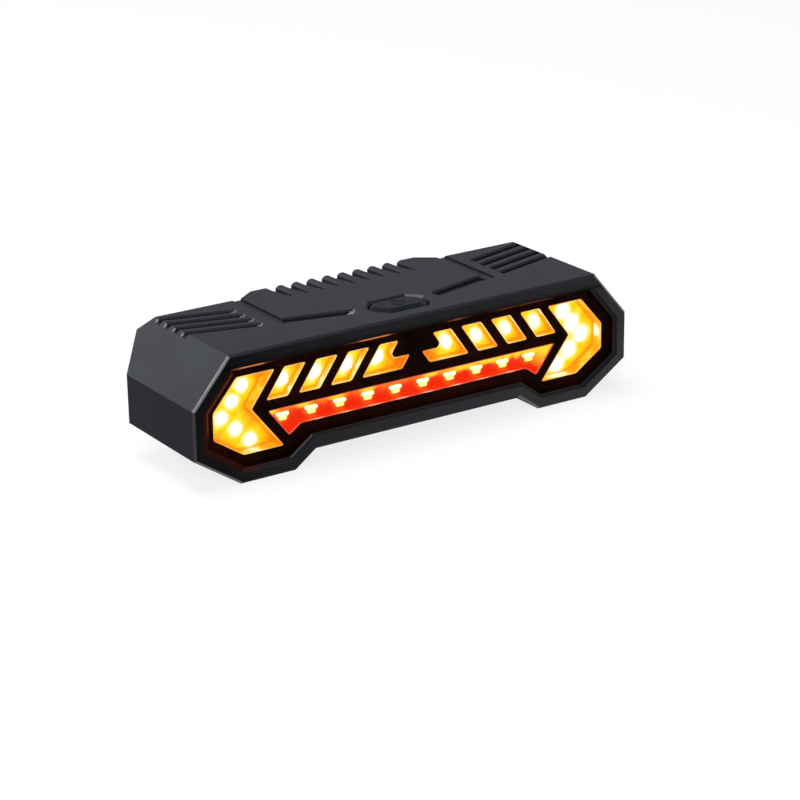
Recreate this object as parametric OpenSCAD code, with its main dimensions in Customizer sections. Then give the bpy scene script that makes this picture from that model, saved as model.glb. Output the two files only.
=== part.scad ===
// Bicycle tail light with two turn arrows, a brake bar and a push button on top.
// X runs across the light, +Y to its back and +Z up; the origin is at the middle of its base.
// Depths named ..._s are measured backwards from the front rim.

/* [Body outline] */
// Width across the two sides
body_w = 110; // [104:0.5:120]
// Depth from the front rim to the overhang at the back
body_d = 34.3; // [32:0.1:40]
// Height from the feet to the top
body_h = 28.2; // [26:0.1:32]
// Width of the flat top
top_w = 92.6; // [86:0.2:98]
// Height of the lower end of the upright sides
side_low = 7.1; // [5:0.1:9]
// Height of the upper end of the upright sides
side_high = 17.9; // [15:0.1:20]
// Distance between the outer corners of the feet
foot_outer_w = 88.6; // [82:0.2:96]
// Distance between the inner corners of the feet
foot_inner_w = 62.4; // [58:0.2:68]
// Width of the flat top of the arch between the feet
arch_w = 51.6; // [46:0.2:56]
// Height of the arch between the feet
arch_h = 3.9; // [2.5:0.1:5]
// Chamfer round the front rim
front_chamfer = 0.5; // [0.4:0.05:1.2]
// Wall of the housing
wall = 2; // [1.6:0.1:2.4]

/* [Overhang at the back] */
// How far the overhang stands out behind the flat back
overhang = 6.1; // [4:0.1:8]
// Height at which the overhang leaves the flat back
overhang_z = 17.9; // [17:0.1:19]
// Height of the overhang's rear edge
overhang_tip_z = 25; // [23:0.1:25.6]
// How far the flat top stops short of the overhang's rear edge
top_setback = 3.5; // [2:0.1:5]
// Width of the raised middle of the overhang at its rear edge
block_w = 42.4; // [36:0.2:48]
// Width of the raised middle of the overhang where it leaves the top
block_root_w = 54.6; // [50:0.2:60]
// How far in front of the flat top's end the raised middle starts
block_lead = 1.2; // [0.6:0.1:2]
// How far the raised middle stops short of the overhang's rear edge
block_setback = 0.2; // [0.1:0.05:1]

/* [Relief on the top] */
// Number of grip slots along the rear edge
tooth_slots = 9; // [5:1:11]
// Spacing of the grip slots
tooth_pitch = 3.95; // [3:0.05:4]
// Width of a grip slot
tooth_slot_w = 1.7; // [1:0.05:2]
// Length of a grip slot
tooth_slot_l = 8; // [5:0.1:9]
// Depth of a grip slot at its front end
tooth_depth_front = 0.25; // [0.1:0.05:0.5]
// Depth of a grip slot at the rear edge
tooth_depth_rear = 1.15; // [0.6:0.05:1.3]
// Width of the sloping shoulders beside a grip slot, at the rear edge
tooth_shoulder = 0.7; // [0.3:0.05:0.9]
// Drop of those shoulders at the rear edge
tooth_shoulder_h = 0.5; // [0.2:0.05:0.6]
// Number of slanted grooves on each shoulder
groove_count = 4; // [2:1:5]
// Spacing of the slanted grooves
groove_pitch = 3.65; // [2.9:0.01:4]
// Width of a slanted groove
groove_w = 1.9; // [0.8:0.05:2.2]
// Depth of a slanted groove
groove_depth = 0.9; // [0.5:0.05:1.1]
// Angle of the slanted grooves
groove_angle = 15; // [5:0.1:16]
// Distance of the grooves' inner ends from the middle
groove_inner_x = 30.2; // [29:0.1:33]
// Depth behind the rim of the rearmost groove's inner end
groove_first_s = 24.1; // [22:0.1:25]
// Distance of the long channels' inner edges from the middle
channel_x = 25.4; // [24.6:0.1:26]
// Width of the long channels
channel_w = 2.2; // [1.6:0.1:3]
// Depth of the long channels
channel_depth = 0.5; // [0.2:0.05:0.7]
// Depth behind the rim at which the long channels start
channel_s = 11.3; // [10:0.1:13]
// Width of the two V channels in front of the middle plate
vee_w = 3; // [1.2:0.1:3.4]
// Depth of the V channels
vee_depth = 1.1; // [0.8:0.05:1.3]
// Distance of the V channels' inner ends from the middle
vee_inner_x = 9.9; // [9.4:0.1:12]
// Depth behind the rim of the V channels' inner ends
vee_inner_s = 9; // [8.5:0.1:10]
// How far the V channels reach into the long channels
vee_reach = 0.4; // [0.2:0.05:0.8]
// Depth behind the rim of the V channels' outer ends
vee_outer_s = 12.9; // [12:0.1:14]
// Slope of the inner ends of the grooves and V channels, from upright, in degrees
relief_draft = 30; // [15:1:40]
// Corner cut at those inner ends, along the groove
relief_corner = 0.5; // [0.2:0.05:0.6]
// Chamfer along the rear edges of the grooves and V channels
relief_chamfer = 0.35; // [0.2:0.05:0.4]

/* [Front window] */
// Width of the flat rim at the sides and below
rim_side = 1.85; // [1:0.05:2.2]
// Width of the flat rim at the top
rim_top = 2.45; // [1.4:0.05:2.8]
// How far the lens lies behind the rim
lens_s = 0.9; // [0.4:0.05:1.4]
// Thickness of the clear lens
lens_t = 1; // [0.7:0.05:1.5]
// Thickness of the black window mask
mask_t = 0.5; // [0.3:0.05:0.8]
// Thickness of the seal behind the mask
lens_seal_t = 0.3; // [0.2:0.05:0.5]
// Width of the ledge that the lens seal lies on
lens_ledge = 1.2; // [0.9:0.05:1.5]
// Thickness of the lens ledge
lens_ledge_t = 1.5; // [1:0.1:2.5]
// Play round the lens, the boards and the rear cover
fit_gap = 0.1; // [0.05:0.05:0.2]

/* [Windows in the mask] */
// Distance of the windows from the outer edge of the body
window_margin = 5.5; // [5.3:0.1:6]
// Distance of the windows' upper edges from the top
window_top_margin = 5.6; // [5.3:0.05:6.2]
// Thickness of an arrow's arms, measured along the top
arrow_arm = 9.1; // [7:0.1:9.5]
// Distance of an arrow's inner corner from the side of the body
arrow_corner_x = 14.6; // [13.6:0.1:15.4]
// Distance of the brake bar's lower edge from the arch
brake_margin = 5.55; // [5:0.05:5.8]
// Height of the brake bar
brake_h = 4.35; // [4:0.05:4.6]
// Distance of the brake bar's ends from the arrows, straight across
brake_gap = 2.85; // [2.4:0.05:3.5]
// How far the brake bar's lower points hang below its lower edge
brake_point_drop = 2.05; // [0.8:0.05:2.2]
// Distance of the brake bar's inner corners from its lower points
brake_point_run = 2.85; // [2:0.05:3.5]
// Distance between the brake bar and the slanted bars above it
bar_rise = 2.3; // [2.2:0.05:3]
// Number of slanted bars beside each arrow
bar_count = 3; // [2:1:3]
// Width of a slanted bar
bar_w = 5.2; // [3.8:0.05:5.6]
// Lean of the slanted bars from upright, in degrees
bar_angle = 35; // [30:0.5:40]
// Distance between an arrow and the foot of the first bar
bar_gap = 2.6; // [2.2:0.05:3.4]
// Distance of the hooked window's outer foot from the middle
hook_reach = 13.6; // [13:0.1:14.4]
// Distance of the hooked window's inner end from the middle
hook_end = 1.5; // [1.5:0.05:2.4]
// Width of the hooked window's upright part
hook_w = 4.75; // [3.8:0.05:5.6]
// Height of the foot of the hooked window
hook_foot_h = 2.9; // [2:0.1:3.2]
// Slant of the foot's inner end
hook_slant = 2; // [1:0.1:2.4]
// Height of the small nick in the hooked window's inner corner
hook_nick_h = 1; // [0.6:0.05:1.2]
// Width of that nick
hook_nick_w = 0.6; // [0.3:0.05:0.8]

/* [Lamps] */
// Depth of the reflector trays
tray_d = 3; // [2.5:0.1:4]
// Wall of the reflector trays round a window
tray_wall = 0.85; // [0.6:0.05:0.95]
// Floor of the reflector trays
tray_floor = 0.5; // [0.3:0.05:0.8]
// Depth of the slanted cells, which are shallower than the arrows
bar_cell_d = 1.15; // [0.8:0.05:2]
// Height of the strip that joins the cells of a turn tray
strip_h = 3.5; // [2.5:0.1:4.5]
// Thickness of that strip
strip_t = 1; // [0.6:0.05:1.5]
// Distance of the turn trays from the middle
tray_gap = 0.3; // [0.2:0.05:0.4]
// How much wider a tray's cell is than its window, all round
cell_margin = 0.2; // [0.1:0.05:0.4]
// Width of a lamp
lamp_w = 2.8; // [2:0.1:3]
// Height of a lamp
lamp_h = 2.2; // [1.6:0.1:2.6]
// How far a lamp stands out of its board
lamp_out = 0.9; // [0.6:0.05:1.5]
// Radius of the hole round a lamp in the tray's floor
lamp_hole_r = 1.85; // [1.84:0.01:2]
// Number of brake lamps
brake_lamps = 10; // [4:2:10]
// Distance of the end brake lamps from the brake bar's tips
brake_lamp_inset = 5.1; // [4.6:0.05:6]
// Height of the brake lamps above the bar's lower edge
brake_lamp_rise = 1.5; // [1.5:0.05:2.2]
// Height of a brake lamp
brake_lamp_h = 1.6; // [1.2:0.05:1.65]
// Radius of the hole round a brake lamp in the tray's floor
brake_hole_r = 1.67; // [1.65:0.01:1.7]
// Distance of an arrow's middle lamp from the side of the body
arrow_lamp_x = 9; // [8.6:0.1:9.5]
// How far an arrow's middle lamp lies below its inner corner
arrow_lamp_drop = 1.6; // [1:0.1:2.2]
// Distance of the upper arm's end lamp from the arrow's outer corner, inwards
arrow_upper_in = 2.75; // [2.4:0.05:3.2]
// Distance of the upper arm's end lamp from the arrow's upper edge
arrow_upper_drop = 3.1; // [2.6:0.05:3.6]
// Distance of the lower arm's end lamp from the arrow's outer corner, inwards
arrow_lower_in = 3.25; // [2.8:0.05:3.8]
// Distance of the lower arm's end lamp from the arrow's lower edge
arrow_lower_rise = 1.85; // [1.8:0.05:2.4]
// How far up a slanted bar its lamp lies, as a part of the bar's height
bar_lamp_share = 0.49; // [0.35:0.01:0.6]
// Thickness of the lamp board
lamp_board_t = 1; // [0.8:0.1:1.2]
// Radius of the pins that rivet the trays to the lamp board
rivet_r = 0.8; // [0.6:0.05:1]
// How far the rivets' heads stand out round the pins and behind the board
rivet_head = 0.3; // [0.2:0.05:0.4]
// Width of the flat cable
flex_w = 8; // [6:0.1:9]
// Distance of the flat cable from the middle
flex_x = 3; // [2.6:0.1:4]
// Thickness of the flat cable
flex_t = 0.3; // [0.2:0.05:0.4]
// Length of the flat cable on the lamp board
flex_drop = 4.5; // [3:0.1:5]
// Length of the flat cable under the control board
flex_reach = 4; // [3:0.1:5]

/* [Button] */
// Length of the button's pocket across the light
pocket_w = 14.4; // [13.6:0.1:17]
// Length of the button's pocket from front to back
pocket_l = 8.8; // [8.4:0.1:10]
// Corner cut of the pocket across the light
pocket_cut_x = 2.6; // [2:0.1:4]
// Corner cut of the pocket from front to back
pocket_cut_y = 3; // [2:0.1:3.2]
// Depth behind the rim of the pocket's middle
pocket_s = 8.35; // [8.2:0.05:9]
// Depth of the pocket
pocket_depth = 1.6; // [1.5:0.05:1.8]
// Width of the chamfer round the pocket
pocket_chamfer = 0.35; // [0.2:0.05:0.5]
// Height of that chamfer
pocket_chamfer_h = 0.6; // [0.3:0.05:0.8]
// Gap round the button in its pocket
button_gap = 0.45; // [0.3:0.05:0.6]
// How far the button stands proud of the top
button_proud = 0.25; // [0.2:0.05:0.8]
// Height of the button's bevel
button_bevel_h = 0.8; // [0.4:0.05:0.9]
// Width of the button's bevel
button_bevel_w = 1.4; // [0.8:0.05:1.6]
// Travel of the button
button_travel = 0.4; // [0.2:0.05:0.5]
// Radius of the button's stem
stem_r = 2; // [1.6:0.05:2.2]
// Running gap round the stem and the switch plunger
running_gap = 0.05; // [0.02:0.01:0.08]
// How far the stem lies behind the pocket's middle
stem_offset = 1.6; // [1.5:0.05:1.7]
// Length of the stem's guide
guide_l = 2.2; // [1.8:0.1:3]
// Thickness of the sealing washer under the button
button_seal_t = 0.3; // [0.2:0.05:0.4]
// Thickness of the retaining clip on the stem
clip_t = 0.6; // [0.4:0.05:0.8]
// How far the retaining clip stands out round the stem
clip_out = 1.1; // [0.6:0.05:1.3]
// Depth of the clip's groove in the stem
clip_groove = 0.3; // [0.2:0.05:0.5]
// Wall of the stem's guide
guide_wall = 2; // [1:0.1:2.2]
// Width of the sealing washer's ring
button_seal_w = 0.6; // [0.4:0.05:0.7]
// Radius of the power mark
mark_r = 1.6; // [1:0.05:2]
// Line width of the power mark
mark_w = 0.4; // [0.2:0.05:0.5]
// Depth of the power mark
mark_depth = 0.15; // [0.05:0.01:0.25]
// Length of the stem below the clip
stem_tail = 0.5; // [0.3:0.05:0.8]

/* [Switch and control board] */
// Side of the switch's square body
switch_w = 4.5; // [4:0.1:4.6]
// Height of the switch's body
switch_h = 3.4; // [2.8:0.1:3.8]
// Radius of the switch's plunger
plunger_r = 1.5; // [1:0.05:1.7]
// How far the plunger stands out of the switch
plunger_out = 1; // [0.7:0.05:1.4]
// Length of the plunger inside the switch
plunger_in = 1.4; // [1:0.1:1.8]
// Length of the control board across the light
control_w = 54; // [52:0.5:58]
// Depth of the control board from front to back
control_d = 12.5; // [11.5:0.1:13.5]
// Thickness of the control board
control_t = 1.2; // [0.8:0.1:1.6]
// Space between the lamp board and what lies behind it
board_space = 1; // [0.8:0.1:1.5]
// Distance of the control board's posts from its ends
post_inset = 4.5; // [4:0.1:5]
// Distance of the control board's posts from its long edges
post_edge = 2.3; // [2.2:0.1:2.6]
// Radius of the screw posts
post_r = 2.2; // [2:0.05:2.4]
// Radius of the small screws
screw_r = 0.8; // [0.6:0.05:1]
// Radius of the small screws' heads
screw_head_r = 1.6; // [1.3:0.05:1.8]
// Height of the small screws' heads
screw_head_h = 1.1; // [0.8:0.05:1.2]
// Length of the small screws
screw_l = 5; // [4:0.1:6]

/* [Parts on the control board] */
// Side of the controller with its radio receiver
controller_w = 7; // [5:0.1:8]
// Distance of the controller's middle from the middle of the board
controller_x = 11.5; // [10:0.1:12.5]
// Side of the charging controller
charger_w = 4.4; // [3:0.1:5]
// Distance of the charging controller's middle from the middle of the board
charger_x = 8.5; // [7.5:0.1:9]
// Height of the two controllers
chip_h = 1; // [0.6:0.05:1.4]
// Side of the coil
coil_w = 4; // [3:0.1:4.5]
// Height of the coil
coil_h = 2; // [1.5:0.1:3]
// Distance of the coil's middle from the middle of the board
coil_x = 15; // [14:0.1:16]
// Number of small capacitors
capacitor_count = 4; // [2:1:5]
// Spacing of the small capacitors
capacitor_pitch = 1.6; // [1.2:0.1:2]
// Length of a small capacitor
capacitor_l = 1.5; // [1:0.1:2]
// Width and height of a small capacitor
capacitor_w = 0.8; // [0.5:0.05:1]

/* [Battery] */
// Length of the battery across the light
battery_w = 44; // [38:0.5:46]
// Depth of the battery from front to back
battery_d = 12; // [10:0.1:12.5]
// Thickness of the battery
battery_t = 6.5; // [5:0.1:7]
// Thickness of the foam pad under the battery
pad_t = 1; // [0.6:0.1:1.4]
// How far the foam pad stops short of the battery's edges
pad_inset = 1.5; // [1:0.1:2.5]
// Radius of the wires
wire_r = 0.5; // [0.4:0.05:0.6]
// Spacing of a pair of wires
wire_pitch = 1.6; // [1.3:0.1:1.8]
// Distance of the charging port's wires from the end of the control board
wire_inset = 2; // [1.4:0.1:2.2]

/* [Rear cover] */
// Thickness of the rear cover
cover_t = 2; // [1.8:0.1:2.4]
// How far the rear cover stops short of the overhang
cover_margin = 1.2; // [1:0.1:1.6]
// Thickness of the rear cover's seal
cover_seal_t = 0.6; // [0.4:0.05:0.8]
// Width of the ledge that the seal lies on
cover_ledge = 1.6; // [1.4:0.1:1.8]
// Thickness of that ledge
cover_ledge_t = 1.6; // [1.2:0.1:2]
// Radius of the posts for the cover's screws
cover_post_r = 2.5; // [2.3:0.05:2.6]
// Length of those posts
cover_post_l = 9; // [7:0.1:10]
// Radius of the cover's screws
cover_screw_r = 1; // [0.8:0.05:1.1]
// Radius of the cover's screw heads
cover_screw_head_r = 1.9; // [1.6:0.05:2]
// Height of the cover's screw heads
cover_screw_head_h = 1.2; // [0.8:0.05:1.3]
// Depth of the cross in the cover's screw heads
cross_depth = 0.6; // [0.4:0.05:0.7]
// Line width of that cross
cross_w = 0.4; // [0.3:0.05:0.6]
// Length of the cover's screws
cover_screw_l = 8; // [6:0.1:9]
// Distance between the two bracket screws
bracket_pitch = 20; // [18:0.5:22]
// Height of the bracket screws
bracket_z = 11.6; // [11.2:0.1:11.8]
// Radius of the bracket screws' thread
bracket_hole_r = 1.25; // [1:0.05:1.5]
// Radius of the brass inserts
insert_r = 2.2; // [2:0.05:2.3]
// Length of the brass inserts
insert_l = 4; // [3:0.1:4.2]
// Wall round the brass inserts
insert_wall = 1; // [0.8:0.05:1.1]
// Width of the bracket's pad
bracket_pad_w = 32; // [28:0.5:34]
// Height of the bracket's pad
bracket_pad_h = 8; // [7:0.1:9]
// How far the bracket's pad stands out
bracket_pad_t = 0.8; // [0.4:0.1:1.5]

/* [Charging port] */
// Width of the port's shell
port_w = 8.94; // [8:0.02:9.2]
// Height of the port's shell
port_h = 3.26; // [3:0.02:3.4]
// Length of the port's shell
port_l = 7.3; // [6.5:0.1:8]
// Wall of the port's shell
port_wall = 0.3; // [0.2:0.05:0.35]
// Thickness of the port's tongue
tongue_t = 0.7; // [0.5:0.05:0.8]
// Gap round the port in the rear cover
port_gap = 0.15; // [0.1:0.05:0.2]
// Length of the charging board across the light
charge_w = 17; // [16:0.1:17.4]
// Depth of the charging board from front to back
charge_d = 10.5; // [9.5:0.1:11]
// Thickness of the charging board
charge_t = 1; // [0.8:0.1:1.2]
// Gap between the charging board and the ledge behind it
charge_gap = 0.4; // [0.2:0.05:0.8]
// Distance of the charging board's posts from the feet's corners
charge_post_inset = 1.5; // [1:0.1:1.8]
// How far the port's tongue stays behind the port's mouth
tongue_setback = 0.8; // [0.5:0.05:1.2]
// Radius of the finger notch in the flap's edge
flap_notch_r = 1.2; // [0.8:0.05:1.4]
// How far the flap reaches past the port at its ends
flap_margin_x = 2; // [1.5:0.1:2.4]
// How far the flap reaches below the port
flap_margin_z = 0.9; // [0.6:0.1:1.1]
// Thickness of the flap
flap_t = 1.1; // [0.9:0.05:1.2]
// Height of the flap's hinge above the port
flap_hinge_rise = 1.3; // [1.1:0.05:1.5]
// Gap round the flap in its recess
flap_gap = 0.35; // [0.3:0.05:0.5]
// Radius of the flap's hinge pins
trunnion_r = 0.35; // [0.3:0.01:0.36]
// Length of the flap's hinge pins
trunnion_l = 0.9; // [0.6:0.05:1.2]

/* [Hidden] */
$fn = 48;

// Cuts run this far past the faces that they open
cut = 1;
// A recess with sloping walls starts this far above the top
lip = 0.1;
// A joined solid reaches this far into the wall that carries it
root = 0.3;

plastic = [0.16, 0.165, 0.18];
black = [0.03, 0.03, 0.035];
rubber = [0.09, 0.09, 0.1];
amber = [1, 0.62, 0.05];
red = [1, 0.16, 0.08];
board_green = [0.05, 0.3, 0.16];
steel = [0.7, 0.71, 0.73];
brass = [0.8, 0.63, 0.3];

// Depths, counted backwards from the front rim
front_y = -body_d / 2;
back_s = body_d - overhang;
top_end_s = body_d - top_setback;
block_s = body_d - block_setback;
mask_s = lens_s + lens_t;
mask_back_s = mask_s + mask_t;
lens_ledge_s = mask_back_s + lens_seal_t;
cavity_s = lens_ledge_s + lens_ledge_t;
tray_back_s = mask_back_s + tray_d;
tray_floor_s = tray_back_s - tray_floor;
bar_floor_s = mask_back_s + bar_cell_d;
bar_lamp_out = lamp_out + tray_floor_s - bar_floor_s;
lamp_board_back_s = tray_back_s + lamp_board_t;
inner_s = lamp_board_back_s + board_space;
cover_s = back_s - cover_t;
cover_ledge_s = cover_s - cover_seal_t;
cavity_end_s = cover_ledge_s - cover_ledge_t;
stem_s = pocket_s + stem_offset;
bracket_pad_s = back_s + bracket_pad_t;
insert_s = bracket_pad_s - insert_l;

// Heights of the button's stack, from the top downwards
pocket_floor_z = body_h - pocket_depth;
button_bottom_z = pocket_floor_z + button_seal_t + button_travel + fit_gap;
button_top_z = body_h + button_proud;
guide_end_z = pocket_floor_z - guide_l;
clip_top_z = guide_end_z - fit_gap;
stem_end_z = clip_top_z - clip_t - stem_tail;
plunger_top_z = stem_end_z - running_gap;
switch_top_z = plunger_top_z - plunger_out;
control_top_z = switch_top_z - switch_h;
control_z = control_top_z - control_t;
ceiling_z = body_h - wall;

// Heights above the floor of the housing
floor_z = arch_h + wall;
battery_z = floor_z + pad_t;
cover_top_z = overhang_z - cover_margin;
foot_x = (foot_inner_w + foot_outer_w) / 4;
cover_post_x = body_w / 2 - wall - cover_ledge - cover_post_r - fit_gap;
cover_post_z = (side_low + side_high) / 2;
foot_post_z = wall + cover_ledge + cover_post_r + fit_gap;
charge_z = foot_post_z + cover_post_r + root;
charge_top_z = charge_z + charge_t;
port_z = charge_top_z + port_h / 2;
charge_end_s = cavity_end_s - charge_gap;
charge_s = charge_end_s - charge_d;
charge_post_s = charge_s + post_r + fit_gap;
charge_post_x = [foot_inner_w / 2 + charge_post_inset, foot_outer_w / 2 - charge_post_inset];
flap_recess_s = back_s - flap_t - fit_gap;
flap_axis_s = back_s - flap_t / 2;
flap_axis_z = charge_top_z + port_h + flap_hinge_rise;
flap_w = port_w + 2 * flap_margin_x;
flap_low_z = charge_top_z - flap_margin_z;

// Outlines
function unit(v) = v / norm(v);
function is_top(i) = i == 8;

// Moves each edge of an anticlockwise outline inwards, by one distance or by a list of them
function inset(points, d) =
  let (n = len(points))
  [for (i = [0 : n - 1])
    let (
      before = unit(points[i] - points[(i + n - 1) % n]),
      after = unit(points[(i + 1) % n] - points[i]),
      n0 = [-before.y, before.x],
      n1 = [-after.y, after.x],
      d0 = is_list(d) ? d[(i + n - 1) % n] : d,
      d1 = is_list(d) ? d[i] : d,
      det = n0.x * n1.y - n0.y * n1.x
    )
    points[i] + [d0 * n1.y - d1 * n0.y, n0.x * d1 - n1.x * d0] / det];

function octagon(w, l, cut_x, cut_y) =
  let (x = w / 2, y = l / 2)
  [[cut_x - x, -y], [x - cut_x, -y], [x, cut_y - y], [x, y - cut_y],
   [x - cut_x, y], [cut_x - x, y], [-x, y - cut_y], [-x, cut_y - y]];

feet_line = [
  [-foot_outer_w / 2, 0], [-foot_inner_w / 2, 0], [-arch_w / 2, arch_h],
  [arch_w / 2, arch_h], [foot_inner_w / 2, 0], [foot_outer_w / 2, 0], [body_w / 2, side_low]
];
outline = concat(feet_line, [
  [body_w / 2, side_high], [top_w / 2, body_h], [-top_w / 2, body_h],
  [-body_w / 2, side_high], [-body_w / 2, side_low]
]);
// The outline in three convex faces: the left end, the middle over the arch and the right end
outline_faces = [[0, 1, 2, 9, 10, 11], [2, 3, 8, 9], [3, 4, 5, 6, 7, 8]];
// The lower part of the outline, which the rear cover closes
rear_outline = concat(feet_line, [
  [body_w / 2, cover_top_z + wall], [-body_w / 2, cover_top_z + wall], [-body_w / 2, side_low]
]);
function rim_line(more) =
  inset(outline, [for (i = [0 : len(outline) - 1]) front_chamfer + (is_top(i) ? rim_top : rim_side) + more]);

// Outline of the body seen from its side, as depth and height
side_line = [
  [0, 0], [back_s, 0], [back_s, overhang_z], [body_d, overhang_tip_z], [top_end_s, body_h], [0, body_h]
];

// Windows of the right half, as seen from the front
window_line = inset(outline, window_margin);
window_top_z = body_h - window_top_margin;
brake_low_z = arch_h + brake_margin;
brake_high_z = brake_low_z + brake_h;
bar_low_z = brake_high_z + bar_rise;
bar_h = window_top_z - bar_low_z;
bar_lean = bar_h * tan(bar_angle);

// Across at a height on the straight edge between two points
function edge_x(a, b, z) = a.x + (b.x - a.x) * (z - a.y) / (b.y - a.y);

arrow_corner = [body_w / 2 - arrow_corner_x, (brake_high_z + bar_low_z) / 2];
arrow_end = [window_line[8].x - arrow_arm, window_top_z];
arrow_window = [
  window_line[4], window_line[5], window_line[6], window_line[7],
  [window_line[8].x, window_top_z], arrow_end, arrow_corner
];
bar_foot_x = edge_x(arrow_corner, arrow_end, bar_low_z) - bar_gap;
bar_pitch = (bar_foot_x - hook_reach) / bar_count;
function bar_x(i) = bar_foot_x - i * bar_pitch;
function bar_window(i) = [
  [bar_x(i) - bar_w, bar_low_z], [bar_x(i), bar_low_z],
  [bar_x(i) - bar_lean, window_top_z], [bar_x(i) - bar_lean - bar_w, window_top_z]
];
hook_corner_z = bar_low_z + hook_foot_h;
hook_nick_x = hook_reach - hook_w - (hook_foot_h + hook_nick_h) * tan(bar_angle);
hook_window = [
  [hook_end + hook_slant, bar_low_z], [hook_reach, bar_low_z], [hook_reach - bar_lean, window_top_z],
  [hook_reach - bar_lean - hook_w, window_top_z], [hook_nick_x, hook_corner_z + hook_nick_h],
  [hook_nick_x - hook_nick_w, hook_corner_z], [hook_end, hook_corner_z]
];
bar_windows = concat([for (i = [0 : bar_count - 1]) bar_window(i)], [hook_window]);
turn_windows = concat([arrow_window], bar_windows);
brake_point_z = brake_low_z - brake_point_drop;
brake_tip = edge_x(arrow_corner, window_line[4], brake_high_z) - brake_gap;
brake_point = edge_x(arrow_corner, window_line[4], brake_point_z) - brake_gap;
brake_inner = brake_point - brake_point_run;
brake_window = [
  [-brake_point, brake_point_z], [-brake_inner, brake_low_z], [brake_inner, brake_low_z],
  [brake_point, brake_point_z], [brake_tip, brake_high_z], [-brake_tip, brake_high_z]
];

// Places of the lamps, as seen from the front
arrow_lamp = [body_w / 2 - arrow_lamp_x, arrow_corner.y - arrow_lamp_drop];
arrow_upper_lamp = [window_line[8].x - arrow_upper_in, window_top_z - arrow_upper_drop];
arrow_lower_lamp = window_line[5] + [-arrow_lower_in, arrow_lower_rise];
arrow_places = [
  arrow_lamp, (arrow_lamp + arrow_upper_lamp) / 2, arrow_upper_lamp,
  (arrow_lamp + arrow_lower_lamp) / 2, arrow_lower_lamp
];
function bar_place(i) =
  [bar_x(i) - bar_w / 2 - bar_lean * bar_lamp_share, bar_low_z + bar_h * bar_lamp_share];
bar_places = [for (i = [0 : bar_count]) bar_place(i)];
brake_lamp_pitch = 2 * (brake_tip - brake_lamp_inset) / (brake_lamps - 1);
brake_places = [
  for (k = [0 : brake_lamps - 1])
    [(k - (brake_lamps - 1) / 2) * brake_lamp_pitch, brake_low_z + brake_lamp_rise]
];
bar_middle_z = (bar_low_z + window_top_z) / 2;
turn_rivets = [for (i = [0.5, bar_count - 0.5]) [bar_x(i) - (bar_w + bar_lean) / 2, bar_middle_z]];
brake_rivet_x = (brake_lamps / 2 - 2) * brake_lamp_pitch;
brake_rivets = [for (side = [-1, 1]) [side * brake_rivet_x, (brake_low_z + brake_high_z) / 2]];

control_posts = [
  for (x = [-1, 1], s = [inner_s + post_edge, inner_s + control_d - post_edge])
    [x * (control_w / 2 - post_inset), s]
];
cover_posts = [
  for (side = [-1, 1])
    each [[side * cover_post_x, cover_post_z], [side * foot_x, foot_post_z]]
];
bracket_places = [for (side = [-1, 1]) [side * bracket_pitch / 2, bracket_z]];

// An outline seen from the front, made solid between two depths
module slab(points, s0, s1) {
  translate([0, front_y + s1, 0])
    rotate([90, 0, 0])
      linear_extrude(height = s1 - s0)
        polygon(points);
}

// An outline of depths and heights, made solid across the light
module across(points, x0, x1) {
  translate([x0, front_y, 0])
    rotate([90, 0, 90])
      linear_extrude(height = x1 - x0)
        polygon(points);
}

module block(x0, x1, s0, s1, z0, z1) {
  translate([x0, front_y + s0, z0])
    cube([x1 - x0, s1 - s0, z1 - z0]);
}

module rod_y(place, r, s0, s1) {
  translate([place.x, front_y + s0, place.y])
    rotate([-90, 0, 0])
      cylinder(r = r, h = s1 - s0);
}

module rod_z(x, s, r, z0, z1) {
  translate([x, front_y + s, z0])
    cylinder(r = r, h = z1 - z0);
}

module rod_x(s, z, r, x0, x1) {
  translate([x0, front_y + s, z])
    rotate([0, 90, 0])
      cylinder(r = r, h = x1 - x0);
}

module both_sides() {
  children();
  mirror([1, 0, 0])
    children();
}

// A solid between two rings of as many points, of which the first runs anticlockwise as seen from outside.
// Its two ends are closed by the same convex faces, given as lists of points.
module loft(ring_a, ring_b, ends) {
  n = len(ring_a);
  polyhedron(
    points = concat(ring_a, ring_b),
    faces = concat(
      [for (face = ends) [for (i = [len(face) - 1 : -1 : 0]) face[i]]],
      [for (face = ends) [for (i = face) n + i]],
      [for (i = [0 : n - 1]) [i, (i + 1) % n, n + (i + 1) % n, n + i]]
    )
  );
}

module stadium(w, h) {
  square([w - h, h], center = true);
  for (side = [-1, 1])
    translate([side * (w - h) / 2, 0])
      circle(d = h);
}

module stadium_rod(w, h, place, s0, s1) {
  translate([place.x, front_y + s1, place.y])
    rotate([90, 0, 0])
      linear_extrude(height = s1 - s0)
        stadium(w, h);
}

// Housing
module body_shape() {
  front_ring = inset(outline, front_chamfer);
  loft(
    [for (p = front_ring) [p.x, front_y, p.y]],
    [for (p = outline) [p.x, front_y + front_chamfer, p.y]],
    outline_faces
  );
  intersection() {
    slab(outline, front_chamfer, body_d);
    across(inset(side_line, [-cut, 0, 0, 0, 0, 0]), -body_w, body_w);
  }
  translate([0, front_y, overhang_tip_z])
    linear_extrude(height = body_h - overhang_tip_z)
      polygon([
        [-block_root_w / 2, top_end_s - block_lead], [block_root_w / 2, top_end_s - block_lead],
        [block_w / 2, block_s], [-block_w / 2, block_s]
      ]);
}

// A recess in the top with an anticlockwise outline of across and depth, whose walls slope in as they go down
module recess(points, depth, slopes) {
  high = inset(points, -slopes * lip / depth);
  low = inset(points, slopes);
  loft(
    [for (p = high) [p.x, front_y + p.y, body_h + lip]],
    [for (p = low) [p.x, front_y + p.y, body_h - depth]],
    [[for (i = [0 : len(points) - 1]) i]]
  );
}

function turned(points, angle, place) =
  [for (p = points) place + [p.x * cos(angle) - p.y * sin(angle), p.x * sin(angle) + p.y * cos(angle)]];

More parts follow.
